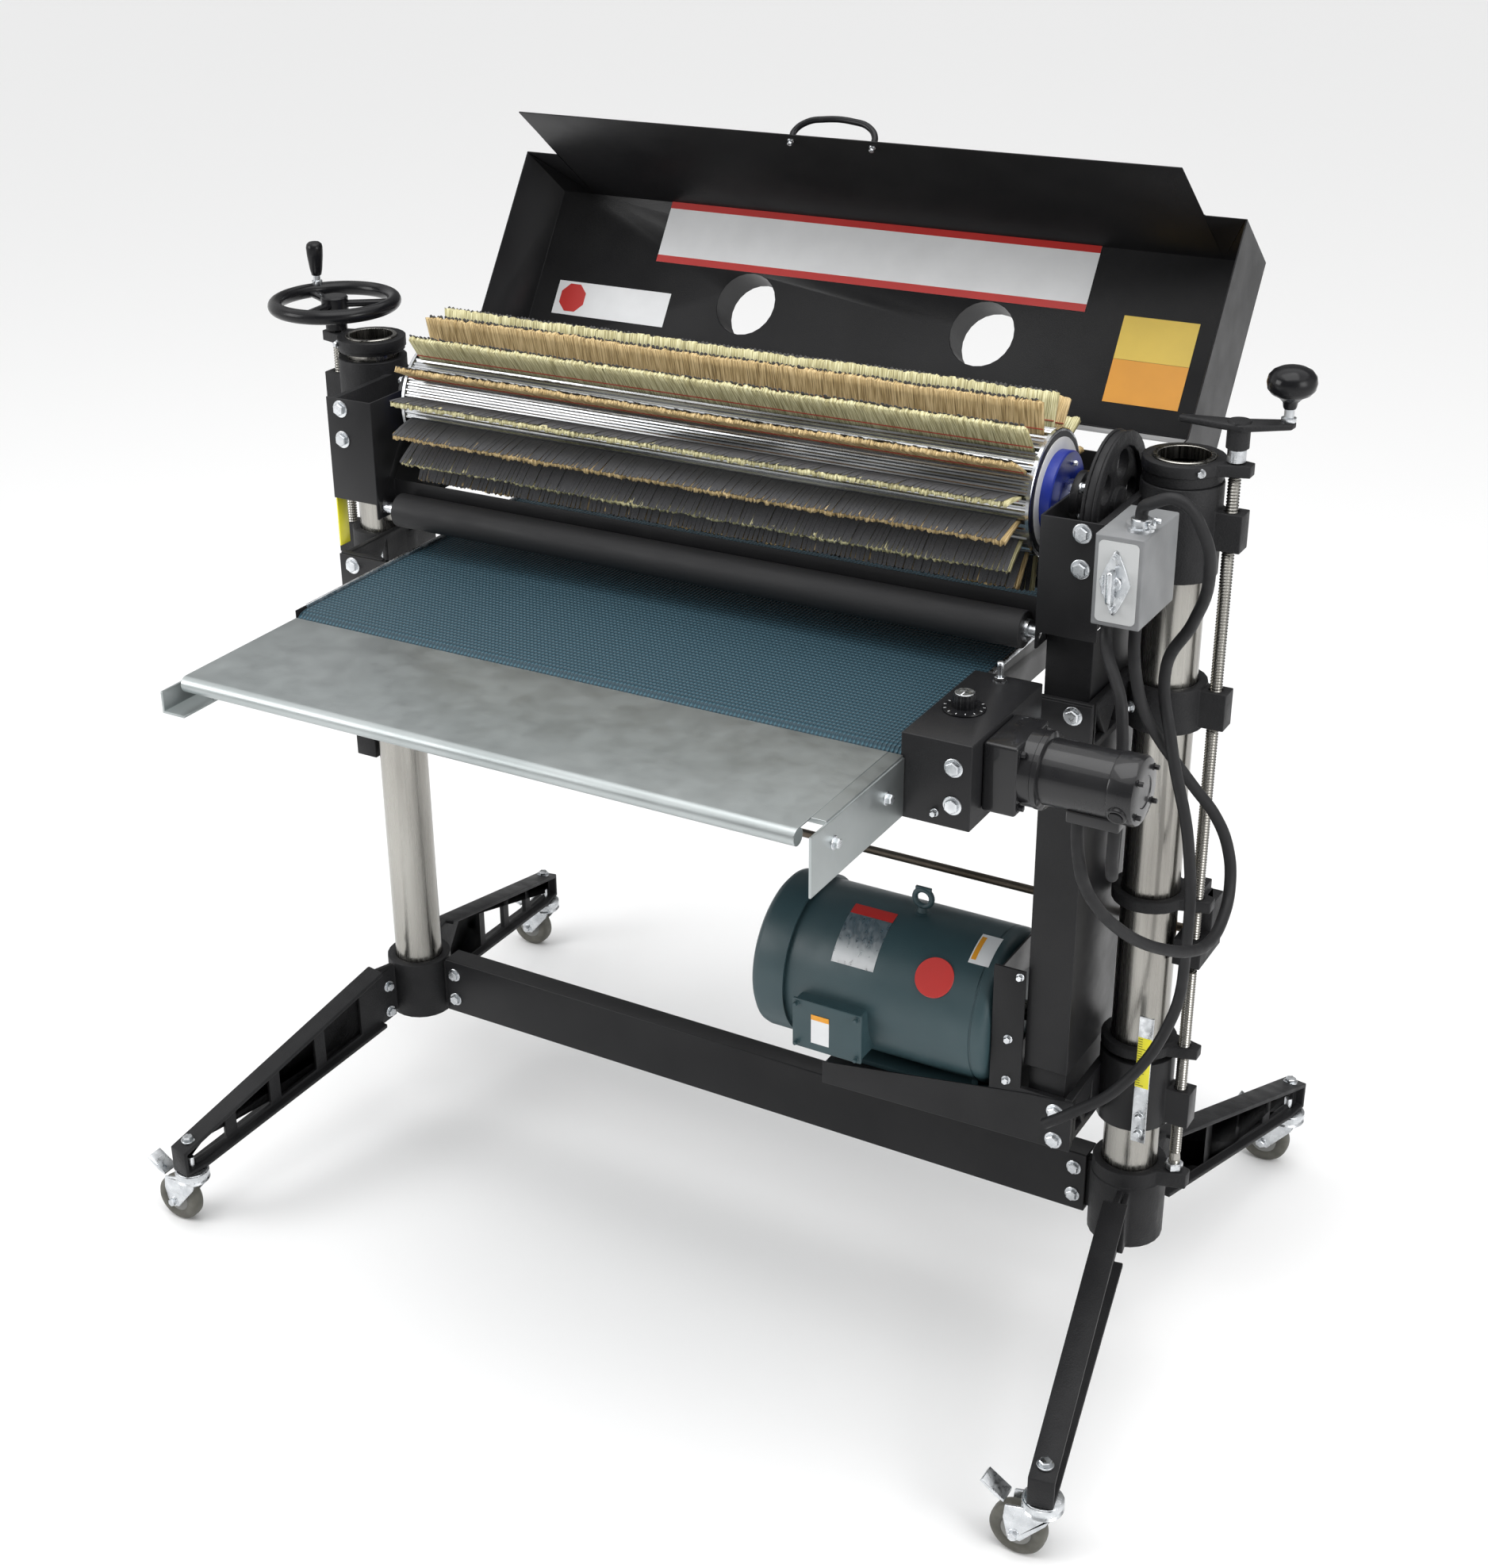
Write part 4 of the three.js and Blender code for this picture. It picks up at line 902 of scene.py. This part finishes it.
sleeve = turned("z", (SCREW_X, 0, 0), [(1311.5, 10.5), (1312, 11.5), (1327, 11.5), (1328, 10.5)], 40)
complete(sleeve, "crank_collar", "crank", zinc)
KNOB_AT = (SCREW_X + 50, 28, 0)
MUSHROOM = [(1376, 7), (1378, 8), (1384, 9), (1390, 15), (1394, 23), (1400, 28), (1408, 29.5), (1416, 28),
            (1422, 23), (1426, 15), (1428, 6)]
complete(turned("z", KNOB_AT, MUSHROOM, 48), "crank_knob", "crank", grip_black, 60)
stem = turned("z", KNOB_AT, [(1359, 8), (1361, 9), (1365, 9), (1366, 6), (1378, 6)], 24)
complete(stem, "crank_knob_stem", "crank", zinc)


# ---- gear brackets and cross shaft ----
# Cast brackets at the foot of each lift screw carry a plain brown steel shaft in bronze bushes, which turns
# the two screws together.

SHAFT_AT = (0, 48, 637)
bronze = new_finish("bronze_bush", (0.55, 0.32, 0.1), 0.35, 1)
uneven(bronze, "Roughness", 0.25, 0.5, 90)
for side, sign in SIDES:
    dressed(f"gear_bracket_{side}", casting, 1.5)
    steps = [(sign * 655, 9), (sign * 656, 10.5), (sign * 662.5, 10.5), (sign * 663, 9)]
    complete(turned("x", SHAFT_AT, steps, 32), f"shaft_bush_{side}", "frame", bronze)
shaft_steel = new_finish("shaft_steel", (0.16, 0.13, 0.1), 0.5, 1)
uneven(shaft_steel, "Base Color", (0.1, 0.08, 0.06), (0.2, 0.17, 0.14), 60, 4, (0.2, 1, 1))
shaft = turned("x", SHAFT_AT, [(-703, 5), (-702, 6), (702, 6), (703, 5)], 32)
complete(shaft, "cross_shaft_rod", "cross_shaft", shaft_steel)
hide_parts("cross_shaft")


# ---- conveyor table ----
# A folded bed holds an endless rubber belt, moulded with a fine diamond grip, round two rollers. Bright
# strips trim the belt's edges, and cast sleeves carry the bed on the columns.

RIDGES_ACROSS, RIDGES_ALONG = 90, 62  # to the metre
belt_rubber = new_finish("belt_rubber", (0.02, 0.055, 0.08), 0.55)
tree = belt_rubber.node_tree
source = tree.nodes.new("ShaderNodeTexCoord")
parts_of = tree.nodes.new("ShaderNodeSeparateXYZ")
tree.links.new(source.outputs["Object"], parts_of.inputs["Vector"])


def maths(operation, first, second=None):
    """A Math node on one or two sockets; a number may stand for the second."""
    node = tree.nodes.new("ShaderNodeMath")
    node.operation = operation
    tree.links.new(first, node.inputs[0])
    if isinstance(second, float):
        node.inputs[1].default_value = second
    elif second:
        tree.links.new(second, node.inputs[1])
    return node.outputs[0]


def ridges(across, along):
    """Slanting waves: so many per metre across and along the belt."""
    over = maths("MULTIPLY", parts_of.outputs["X"], across * 2 * math.pi)
    down = maths("MULTIPLY", parts_of.outputs["Y"], along * 2 * math.pi)
    return maths("SINE", maths("ADD", over, down))


diamonds = maths("MULTIPLY", ridges(RIDGES_ACROSS, RIDGES_ALONG), ridges(-RIDGES_ACROSS, RIDGES_ALONG))
drive(belt_rubber, "Base Color", ramp(belt_rubber, diamonds, (0.0, (0.012, 0.04, 0.058)),
                                      (0.25, (0.016, 0.052, 0.075)), (0.7, (0.035, 0.1, 0.135))))
bump(belt_rubber, diamonds, 0.0015, 1.0)
bump(belt_rubber, noise(belt_rubber, 300, 3), 0.0004, 0.35)
dressed("conveyor_belt", belt_rubber, 0.8)
dressed("table_bed", powder, 0.8)
for name in ("drive_roller", "idler_roller"):
    dressed(name, zinc, 0.5)
for side, sign in SIDES:
    dressed(f"table_sleeve_{side}", casting, 1.5)
    bolt(f"table_bolt_{side}", "table", (sign * 559.5, -160, 1013), FORWARD, BRACKET_BOLT)
    clamp_at = (sign * (COLUMN_X - 30), -42, 986)
    bolt(f"table_clamp_screw_{side}", "table", clamp_at, (-0.55 * sign, -0.83, 0), 6)


def plate(name, body, made, low, high, width=0.6, segments=2):
    """A flat or boxy piece between two corners in millimetres, its edges rounded."""
    deselect()
    bpy.ops.mesh.primitive_cube_add(size=1)
    obj = bpy.context.object
    obj.scale = [(b - a) / 1000 for a, b in zip(low, high)]
    obj.location = spot(*[(a + b) / 2 for a, b in zip(low, high)])
    bpy.ops.object.transform_apply(location=True, rotation=True, scale=True)
    if width:
        rounded(obj, width, segments)
    return complete(obj, name, body, made, 40)


for side, sign in SIDES:
    low, high = sorted((sign * 449.9, sign * 453.6))
    plate(f"belt_trim_{side}", "table", zinc, (low, -395, 1048), (high, 305, 1054.2), 0.5)
    cap = turned("x", (0, -400, 1025), [(sign * 449.6, 20), (sign * 450, 21.5), (sign * 450.9, 21.5)], 48)
    complete(cap, f"belt_roller_cap_{side}", "table", zinc)


# ---- infeed sheet ----
# A zinc-plated steel sheet with a rolled front edge lies in front of the belt, on a deep right bracket and a
# shallow left channel. The plating is cloudy, with faint drawing lines and a bright roll.

plating = new_finish("infeed_plating", (0.5, 0.54, 0.55), 0.34, 1)
uneven(plating, "Base Color", (0.36, 0.39, 0.39), (0.46, 0.49, 0.49), 5, 6)
uneven(plating, "Roughness", 0.36, 0.44, 30, 6)
bump(plating, noise(plating, 500, 3, (0.05, 1, 1)), 0.0002, 0.35)
dressed("infeed_table", plating, 0.6, 25)
for name, y, z in (("front", -604, 1016), ("rear", -473, 1013)):
    bolt(f"infeed_screw_{name}", "table", (460, y, z), RIGHT, 6.5)
bolt("infeed_screw_left", "table", (-460, -600, 1019), LEFT, 6.5)


# ---- control box ----
# A black sheet-metal box at the belt's right holds the speed control, a fluted knob over a graduated skirt,
# and a toggle in a plated bush.

BOX_FRONT = -426
dressed("control_box", powder, 1.5)
for z in (1046, 998):
    bolt(f"box_bolt_{z}", "table", (521, BOX_FRONT, z), FORWARD, 9)
bolt("box_small_screw", "table", (499, BOX_FRONT, 984), FORWARD, 4)

DIAL_X, DIAL_Y = 491, -334
DIAL = (DIAL_X, DIAL_Y, 0)
FLUTE_COUNT, FLUTE_DEPTH, KNOB_TAPER = 16, 0.07, 0.93
MARKS, MARK_CIRCLE, MARK_FIRST, MARK_STEP = 11, 22.6, -135, 27
skirt = turned("z", DIAL, [(1077.4, 25.5), (1078.4, 26), (1080, 25.5), (1081, 17), (1081.2, 12)], 72)
complete(skirt, "speed_knob_skirt", "speed_knob", grip_black)
deselect()
bpy.ops.mesh.primitive_cylinder_add(vertices=96, radius=0.0148, depth=0.018, end_fill_type="NGON")
knob = bpy.context.object
for vertex in knob.data.vertices:
    turn = math.atan2(vertex.co.y, vertex.co.x)
    flute = 1 - FLUTE_DEPTH * (0.5 + 0.5 * math.cos(turn * FLUTE_COUNT))
    taper = KNOB_TAPER if vertex.co.z > 0 else 1
    vertex.co.x *= flute * taper
    vertex.co.y *= flute * taper
knob.data.transform(Matrix.Translation(spot(DIAL_X, DIAL_Y, 1089.5)))
pick(knob)
rounded(knob, 0.8, 2, 60)
complete(knob, "speed_knob_grip", "speed_knob", grip_black, 45)
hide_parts("speed_knob")
cap = turned("z", DIAL, [(1098, 12), (1098.6, 12), (1099, 11.4)], 48)
complete(cap, "speed_knob_cap", "speed_knob", zinc)
plate("speed_knob_pointer", "speed_knob", vinyl_white,
      (490.4, -346, 1098.8), (491.6, -335, 1099.4), 0.1)
for tick in range(MARKS):
    turn = math.radians(MARK_FIRST + MARK_STEP * tick)
    deselect()
    bpy.ops.mesh.primitive_cube_add(size=1, rotation=(0, 0, turn))
    bar = bpy.context.object
    bar.scale = (0.0007, 0.0042, 0.0003)
    bar.location = spot(DIAL_X + MARK_CIRCLE * math.sin(turn), DIAL_Y - MARK_CIRCLE * math.cos(turn), 1080.3)
    complete(bar, f"speed_mark_{tick}", "speed_knob", vinyl_white)

TOGGLE = (495, -240, 0)
bush = turned("z", TOGGLE, [(1076.5, 9), (1079, 9), (1079.2, 7), (1083, 7), (1083.4, 6.2)], 6)
complete(bush, "toggle_bush", "table", zinc, 25)
lever = turned("z", TOGGLE, [(1080.5, 2.6), (1086, 3), (1098, 4.2), (1102, 4.4), (1103, 3)], 32)
complete(lever, "toggle_lever", "toggle", zinc, 60)
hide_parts("toggle_switch")


# ---- gearmotor ----
# The geared drive motor is bolted to the control box's side: a square gear case, a smooth black can, two
# round brush caps, long through screws at its end and a terminal block with two cord glands underneath.

GEAR_Y, GEAR_Z = -350, 1030
CAN_STEPS = [(584, 44), (585, 46), (600, 46), (601, 47), (607, 47), (608, 45), (609, 40), (690, 40),
             (691, 41.5), (693, 42), (716, 42), (720, 40), (722, 35), (722, 20), (721, 19), (721, 8)]
smooth_black = new_finish("smooth_black", (0.012, 0.012, 0.013), 0.3)
uneven(smooth_black, "Roughness", 0.24, 0.4, 30, 4)
bump(smooth_black, noise(smooth_black, 600, 2), 0.0003, 0.3)
smooth_black.node_tree.nodes["Principled BSDF"].inputs["Coat Weight"].default_value = 0.4

plate("gearmotor_case", "table", smooth_black, (543.4, -397, 984), (586, -305, 1072), 4, 4)
can = turned("x", (0, GEAR_Y, GEAR_Z), CAN_STEPS, 80)
complete(can, "gearmotor_body", "table", smooth_black)
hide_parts("gearmotor")
for y in (-388, -314):
    for z in (994, 1062):
        bolt(f"gear_case_screw_{-y}_{z}", "table", (585.5, y, z), RIGHT, 4.2, grip_black)
for turn in (40, 140, 220, 320):
    at = (721, *around(33, turn, GEAR_Y, GEAR_Z))
    bolt(f"gearmotor_screw_{turn}", "table", at, RIGHT, 3.4, grip_black)
for name, angle in (("front", 205), ("rear", 25)):
    towards = (0, *around(1, angle, 0, 0))
    at = (704, GEAR_Y + 39 * towards[1], GEAR_Z + 39 * towards[2])
    boss = at_origin([(0, 12), (5, 12), (6, 11), (6, 9), (4.6, 8.6)], 40)
    complete(aimed(boss, at, towards), f"brush_cap_{name}", "table", smooth_black)
    screw = at_origin([(4, 8), (6.8, 8), (7.4, 7.2)], 32)
    complete(aimed(screw, at, towards), f"brush_cap_screw_{name}", "table", grip_black)
plate("gearmotor_terminal", "table", smooth_black,
      (640, -378, 984), (704, -338, 1000), 2.5, 3)
for name, x in (("loop", 648), ("feed", 692)):
    gland = turned("z", (x, -358, 0), [(999, 9), (997, 9.6), (985, 9.6), (983, 8.4)], 6)
    complete(gland, f"cord_gland_{name}", "table", smooth_black, 25)


# ---- drive motor ----
# A totally enclosed motor in dark blue-green enamel. It has a vented fan cowl, a bolted junction box, welded
# feet, a lifting eye and blank plates, one of them a round seal.

MOTOR_Y, MOTOR_Z = -40, 500
MOTOR_AXIS = (0, MOTOR_Y, MOTOR_Z)
SHELL = [(150, 108), (150.5, 111), (152, 112), (300, 112), (434, 112), (435, 110.8), (437, 110.8), (438, 112),
         (447, 112), (453, 110), (457, 106), (460, 98), (461, 92), (461, 30)]
COWL = [(152, 112), (152.6, 117), (112, 117), (105, 115), (100, 109), (98, 98), (98, 70), (99, 68), (99, 40)]
VENT_RINGS, VENTS_PER_RADIUS = (48, 62, 76, 90), 0.36
enamel = new_finish("motor_enamel", (0.035, 0.065, 0.075), 0.42)
uneven(enamel, "Base Color", (0.028, 0.058, 0.067), (0.036, 0.072, 0.082), 8, 4)
uneven(enamel, "Roughness", 0.38, 0.5, 25, 4)
bump(enamel, noise(enamel, 500, 2), 0.0004, 0.35)
shell = turned("x", MOTOR_AXIS, SHELL, 128)
complete(shell, "motor_shell", "motor_unit", enamel, 40)
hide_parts("motor")
complete(turned("x", MOTOR_AXIS, COWL, 128), "motor_fan_cowl", "motor_unit", enamel, 40)
# The vents are not cut through: each is a flat near-black disc on the cowl's end face, painted shade standing
# for the dark inside of a vent hole.
vent_hole_shade = new_finish("vent_hole_shade", (0.004, 0.005, 0.005), 0.8)
uneven(vent_hole_shade, "Roughness", 0.7, 0.9, 80)
for ring_number, ring_radius in enumerate(VENT_RINGS):
    vents = int(ring_radius * VENTS_PER_RADIUS)
    for hole in range(vents):
        at = (97.7, *around(ring_radius, hole * 360 / vents, MOTOR_Y, MOTOR_Z))
        vent = aimed(at_origin([(-0.4, 3.2), (0.3, 3.2)], 10), at, LEFT)
        complete(vent, f"vent_{ring_number}_{hole}", "motor_unit", vent_hole_shade)
shaft = turned("x", MOTOR_AXIS, [(460, 14), (541, 14), (542, 13)], 40)
complete(shaft, "motor_shaft", "motor_unit", ground_steel)
plate("junction_box", "motor_unit", enamel, (180, -170, 429), (284, -122, 503), 4, 4)
plate("junction_lid", "motor_unit", enamel, (178, -174.5, 427), (286, -169.5, 505), 2, 3)
for z in (434, 498):
    for x in (185, 279):
        bolt(f"junction_screw_{x}_{z}", "motor_unit", (x, -174, z), FORWARD, 3.2, enamel)
plate("motor_foot", "motor_unit", enamel, (170, -112, 384.5), (440, 32, 392), 1.5)
for x in (186, 424):
    plate(f"motor_foot_rib_{x}", "motor_unit", enamel,
          (x - 5, -96, 390), (x + 5, 16, 424), 1.5)

EYE_X = 312
deselect()
bpy.ops.mesh.primitive_torus_add(major_segments=48, minor_segments=12, major_radius=0.0128,
                                 minor_radius=0.0042, rotation=(math.pi / 2, 0, 0))
eye = bpy.context.object
eye.location = spot(EYE_X, MOTOR_Y, 634)
bpy.ops.object.transform_apply(location=True, rotation=True, scale=True)
neck = turned("z", (EYE_X, MOTOR_Y, 0), [(608, 12), (612, 12), (613, 8), (620, 6)], 32)
shoulder = plate("lifting_eye_top", None, enamel, (300, -42.4, 645), (324, -37.6, 651), 1)
complete(joined(joined(eye, neck), shoulder), "lifting_eye", "motor_unit", enamel, 40)
silver = new_finish("nameplate_silver", (0.6, 0.61, 0.62), 0.32, 1)
uneven(silver, "Roughness", 0.24, 0.45, 200, 3, (1, 0.05, 1))


def on_shell(name, made, x_from, x_to, turn_from, turn_to, radius=112.35):
    """A thin plate curved to the motor's shell, between two places along it and two angles round it."""
    deselect()
    bpy.ops.mesh.primitive_grid_add(x_subdivisions=2, y_subdivisions=12, size=1)
    obj = bpy.context.object
    for vertex in obj.data.vertices:
        turn = turn_from + (vertex.co.y + 0.5) * (turn_to - turn_from)
        x = x_from + (vertex.co.x + 0.5) * (x_to - x_from)
        vertex.co = spot(x, *around(radius, turn, MOTOR_Y, MOTOR_Z))
    sheet = obj.modifiers.new("Sheet", "SOLIDIFY")
    sheet.thickness = 0.0005
    sheet.offset = 0
    bpy.ops.object.modifier_apply(modifier=sheet.name)
    bpy.ops.object.mode_set(mode="EDIT")
    bpy.ops.mesh.select_all(action="SELECT")
    bpy.ops.mesh.normals_make_consistent(inside=False)
    bpy.ops.object.mode_set(mode="OBJECT")
    return complete(obj, name, "motor_unit", made, 40)


on_shell("nameplate", silver, 219, 284, 110.6, 150)
on_shell("nameplate_badge", vinyl_red, 219, 284, 101, 110.4)
on_shell("motor_label_right", vinyl_white, 410, 440, 98, 125)
on_shell("motor_label_right_head", vinyl_orange, 412, 419, 101, 122, 112.6)
SEAL_X, SEAL_TURN, SEAL_RADIUS = 372, 142, 28
seal_out = Vector((0, *around(1, SEAL_TURN, 0, 0)))
seal_at = Vector((SEAL_X, MOTOR_Y, MOTOR_Z)) + seal_out * 110.6
seal = at_origin([(-2, SEAL_RADIUS), (1.6, SEAL_RADIUS), (2.2, SEAL_RADIUS - 0.6)], 64)
complete(aimed(seal, seal_at, seal_out), "motor_seal", "motor_unit", vinyl_red)
plate("junction_label", "motor_unit", vinyl_white,
      (208, -175.2, 440), (236, -174.4, 486), 0.1)
plate("junction_label_head", "motor_unit", vinyl_orange,
      (208, -175.4, 478), (236, -174.5, 486), 0.1)


# ---- motor bracket, belt guard and speed screw ----
# A welded bracket carries the motor and slides on the right column, over a threaded rod with a nut. The belt
# runs in a two-part folded guard.

PLATE_FRONT = -137.5
dressed("motor_bracket", powder, 1.0)
for level in (375, 420):
    bolt(f"bracket_bolt_{level}", "motor_unit", (560, -140, level), FORWARD, BRACKET_BOLT)
for level in (447, 512):
    bolt(f"guard_bolt_{level}", "motor_unit", (487, PLATE_FRONT, level), FORWARD, 5)
bolt("end_plate_screw", "motor_unit", (500, PLATE_FRONT, 612), FORWARD, 4.4)
dressed("belt_guard", powder, 1.2)
dressed("speed_collar", casting, 1.2)
threaded("speed_screw_rod", "speed_screw", SCREW_X, 262, 606, 300)
nut = turned("z", (SCREW_X, 0, 0), [(286.5, 11), (288, 12.6), (296, 12.6), (298, 11)], 6)
complete(nut, "speed_screw_nut", "speed_screw", zinc, 25)
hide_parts("speed_screw")


# ---- scales ----
# A plated bar on the right column carries a yellow speed scale, and a yellow depth scale stands by the left
# sleeve; both have plain black graduations, every fifth one longer.

scale_black = vinyl_finish("scale_ink", (0.01, 0.01, 0.01))
vinyl_lemon = vinyl_finish("scale_yellow", (0.85, 0.78, 0.03))
plate("speed_scale_bar", "motor_unit", zinc, (640, -60, 354), (660, -57, 552), 0.5)
plate("speed_scale", "motor_unit", vinyl_lemon,
      (640.5, -60.6, 442), (659.5, -59.8, 520), 0.1)
for index in range(20):
    x_end = 647 if index % 5 else 652
    z = 445 + index * 3.8
    plate(f"speed_mark_line_{index}", "motor_unit", scale_black,
          (641, -60.9, z), (x_end, -60.5, z + 0.7), 0.05, 1)
for z in (370, 396):
    bolt(f"scale_screw_{z}", "motor_unit", (650, -60, z), FORWARD, 5)
plate("depth_scale", "frame", vinyl_lemon, (-588.5, -150, 1036), (-586.5, -128, 1128), 0.3)
for index in range(22):
    y_end = -143 if index % 5 else -138
    z = 1040 + index * 4
    plate(f"depth_mark_{index}", "frame", scale_black,
          (-588.9, -149, z), (-588.4, y_end, z + 0.8), 0.05, 1)


# ---- switch box ----
# A grey moulded switch box with a paler front plate stands on the right head casting. Its plated lever turns
# on a diamond escutcheon beside a small lock tab, and the cord drops in at the top through a clamp with two
# screws.

SWITCH_X, SWITCH_FACE, SWITCH_Z = 622, -216, 1218
box_grey = new_finish("switch_grey", (0.19, 0.195, 0.2), 0.42)
uneven(box_grey, "Base Color", (0.175, 0.18, 0.185), (0.21, 0.215, 0.22), 25)
bump(box_grey, noise(box_grey, 400, 2), 0.0004, 0.4)
dressed("switch_box", box_grey, 2.2, segments=3)
plate_grey = new_finish("switch_plate_grey", (0.5, 0.51, 0.51), 0.4)
uneven(plate_grey, "Roughness", 0.34, 0.46, 60)
front_plate = plate("switch_plate", "frame", plate_grey,
                    (599.5, SWITCH_FACE, 1168), (648.5, -214.8, 1268), 0)
pick(front_plate)
corners = front_plate.modifiers.new("Corners", "BEVEL")
corners.width = 0.006
corners.segments = 5
corners.limit_method = "WEIGHT"
weights = front_plate.data.attributes.new("bevel_weight_edge", "FLOAT", "EDGE")
for edge in front_plate.data.edges:
    a, b = (front_plate.data.vertices[index].co for index in edge.vertices)
    weights.data[edge.index].value = 1.0 if abs((a - b).normalized().y) > 0.9 else 0.0
bpy.ops.object.modifier_apply(modifier=corners.name)

ESCUTCHEON_RADIUS, DIAMOND_STRETCH, DIAMOND_PINCH = 19, 2.1, 0.62
steps = [(0, ESCUTCHEON_RADIUS), (1.6, ESCUTCHEON_RADIUS), (2, 18.4), (2, 2)]
escutcheon = aimed(at_origin(steps, 40), (SWITCH_X, SWITCH_FACE, SWITCH_Z), FORWARD)
middle = spot(SWITCH_X, SWITCH_FACE, SWITCH_Z)
for vertex in escutcheon.data.vertices:
    rise = vertex.co.z - middle.z
    vertex.co.z = middle.z + rise * DIAMOND_STRETCH
    narrow = 1 - DIAMOND_PINCH * min(1, abs(rise) / (ESCUTCHEON_RADIUS / 1000))
    vertex.co.x = middle.x + (vertex.co.x - middle.x) * narrow
complete(escutcheon, "switch_escutcheon", "frame", zinc, 30)
for z in (1185, 1251):
    bolt(f"switch_plate_screw_{z}", "frame", (SWITCH_X, -217.6, z), FORWARD, 2.6)
yoke = aimed(at_origin([(0, 9), (3, 9), (4, 8), (4, 5), (12, 4.6), (12.4, 3)], 40),
             (SWITCH_X, SWITCH_FACE - 1, SWITCH_Z), FORWARD)
complete(yoke, "switch_pivot", "switch_handle", zinc)
lever = plate("switch_lever", "switch_handle", zinc,
              (618.5, -238.5, 1198), (625.5, -222, 1238), 3, 4)
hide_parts("switch_handle")
plate("switch_lock_tab", "frame", zinc,
      (607, -220.5, 1203), (609, SWITCH_FACE, 1226), 0.9, 3)
CLAMP = [(1273, 15), (1274, 16), (1278, 16), (1279, 12.5), (1288, 12.5), (1289, 11)]
complete(turned("z", (636, -180, 0), CLAMP, 40), "cord_clamp", "frame", zinc)
for y in (-189, -171):
    bolt(f"cord_clamp_screw_{-y}", "frame", (649, y, 1284), RIGHT, 3.4)
for name, x, y in (("feed", 606, -190), ("loop", 632, -164)):
    gland = turned("z", (x, y, 0), [(1163, 10), (1162, 10.5), (1155, 10.5), (1154, 9)], 6)
    complete(gland, f"switch_gland_{name}", "frame", smooth_black, 25)


# ---- casters ----
# Four swivel casters with zinc-plated pressed forks, a ball race under each leg, a grey moulded wheel on a
# bolted axle and a bent brake pedal. A nut on top of the leg holds each stem.

LEG_REACH, TRAIL, AXLE_Z = 500, 30, 38
RACE = [(99.4, 10), (99.4, 23), (98, 26.5), (92, 27), (90, 24.5), (87, 24.5), (84, 27), (82, 26), (81.5, 16)]
TYRE = [(-9, 20), (-11.5, 22), (-12.4, 29), (-11.6, 34), (-8, 37.3), (-4, 38), (4, 38), (8, 37.3), (11.6, 34),
        (12.4, 29), (11.5, 22), (9, 20), (9, 12)]
WHEEL_MIDDLE = [(-11, 6), (-11, 19), (-10, 21.5), (10, 21.5), (11, 19), (11, 6)]
tyre = new_finish("caster_tyre", (0.085, 0.083, 0.068), 0.55)
uneven(tyre, "Base Color", (0.07, 0.068, 0.055), (0.11, 0.107, 0.09), 70, 4)
bump(tyre, noise(tyre, 400, 2), 0.0004, 0.4)
wheel_hub = new_finish("caster_hub", (0.2, 0.2, 0.19), 0.5)
bump(wheel_hub, noise(wheel_hub, 200), 0.0004, 0.4)


def on_axle(steps, x, y, sides):
    return turned("y", (x - TRAIL, y, AXLE_Z), [(y + place, radius) for place, radius in steps], sides)


for end, rear in ENDS:
    for side, sign in SIDES:
        corner = f"{end}_{side}"
        x = sign * (COLUMN_X + LEG_REACH * math.sin(SPLAY))
        y = rear * LEG_REACH * math.cos(SPLAY)
        dressed(f"caster_fork_{corner}", zinc, 1.2)
        race = turned("z", (x, y, 0), RACE, 56)
        complete(race, f"caster_race_{corner}", f"caster_{corner}", zinc, 25)
        dressed(f"caster_pedal_{corner}", zinc, 0.8)
        wheel = on_axle(TYRE, x, y, 72)
        complete(wheel, f"caster_tyre_{corner}", f"wheel_{corner}", tyre, 50)
        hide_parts(f"caster_wheel_{corner}")
        middle = on_axle(WHEEL_MIDDLE, x, y, 56)
        complete(middle, f"caster_hub_{corner}", f"wheel_{corner}", wheel_hub)
        for name, facing in (("front", FORWARD), ("rear", REARWARD)):
            at = (x - TRAIL, y + facing[1] * 18, AXLE_Z)
            bolt(f"axle_nut_{corner}_{name}", f"caster_{corner}", at, facing, 6.4)
        bolt(f"stem_nut_{corner}", "frame", (x, y, 152), UP, 8.5)
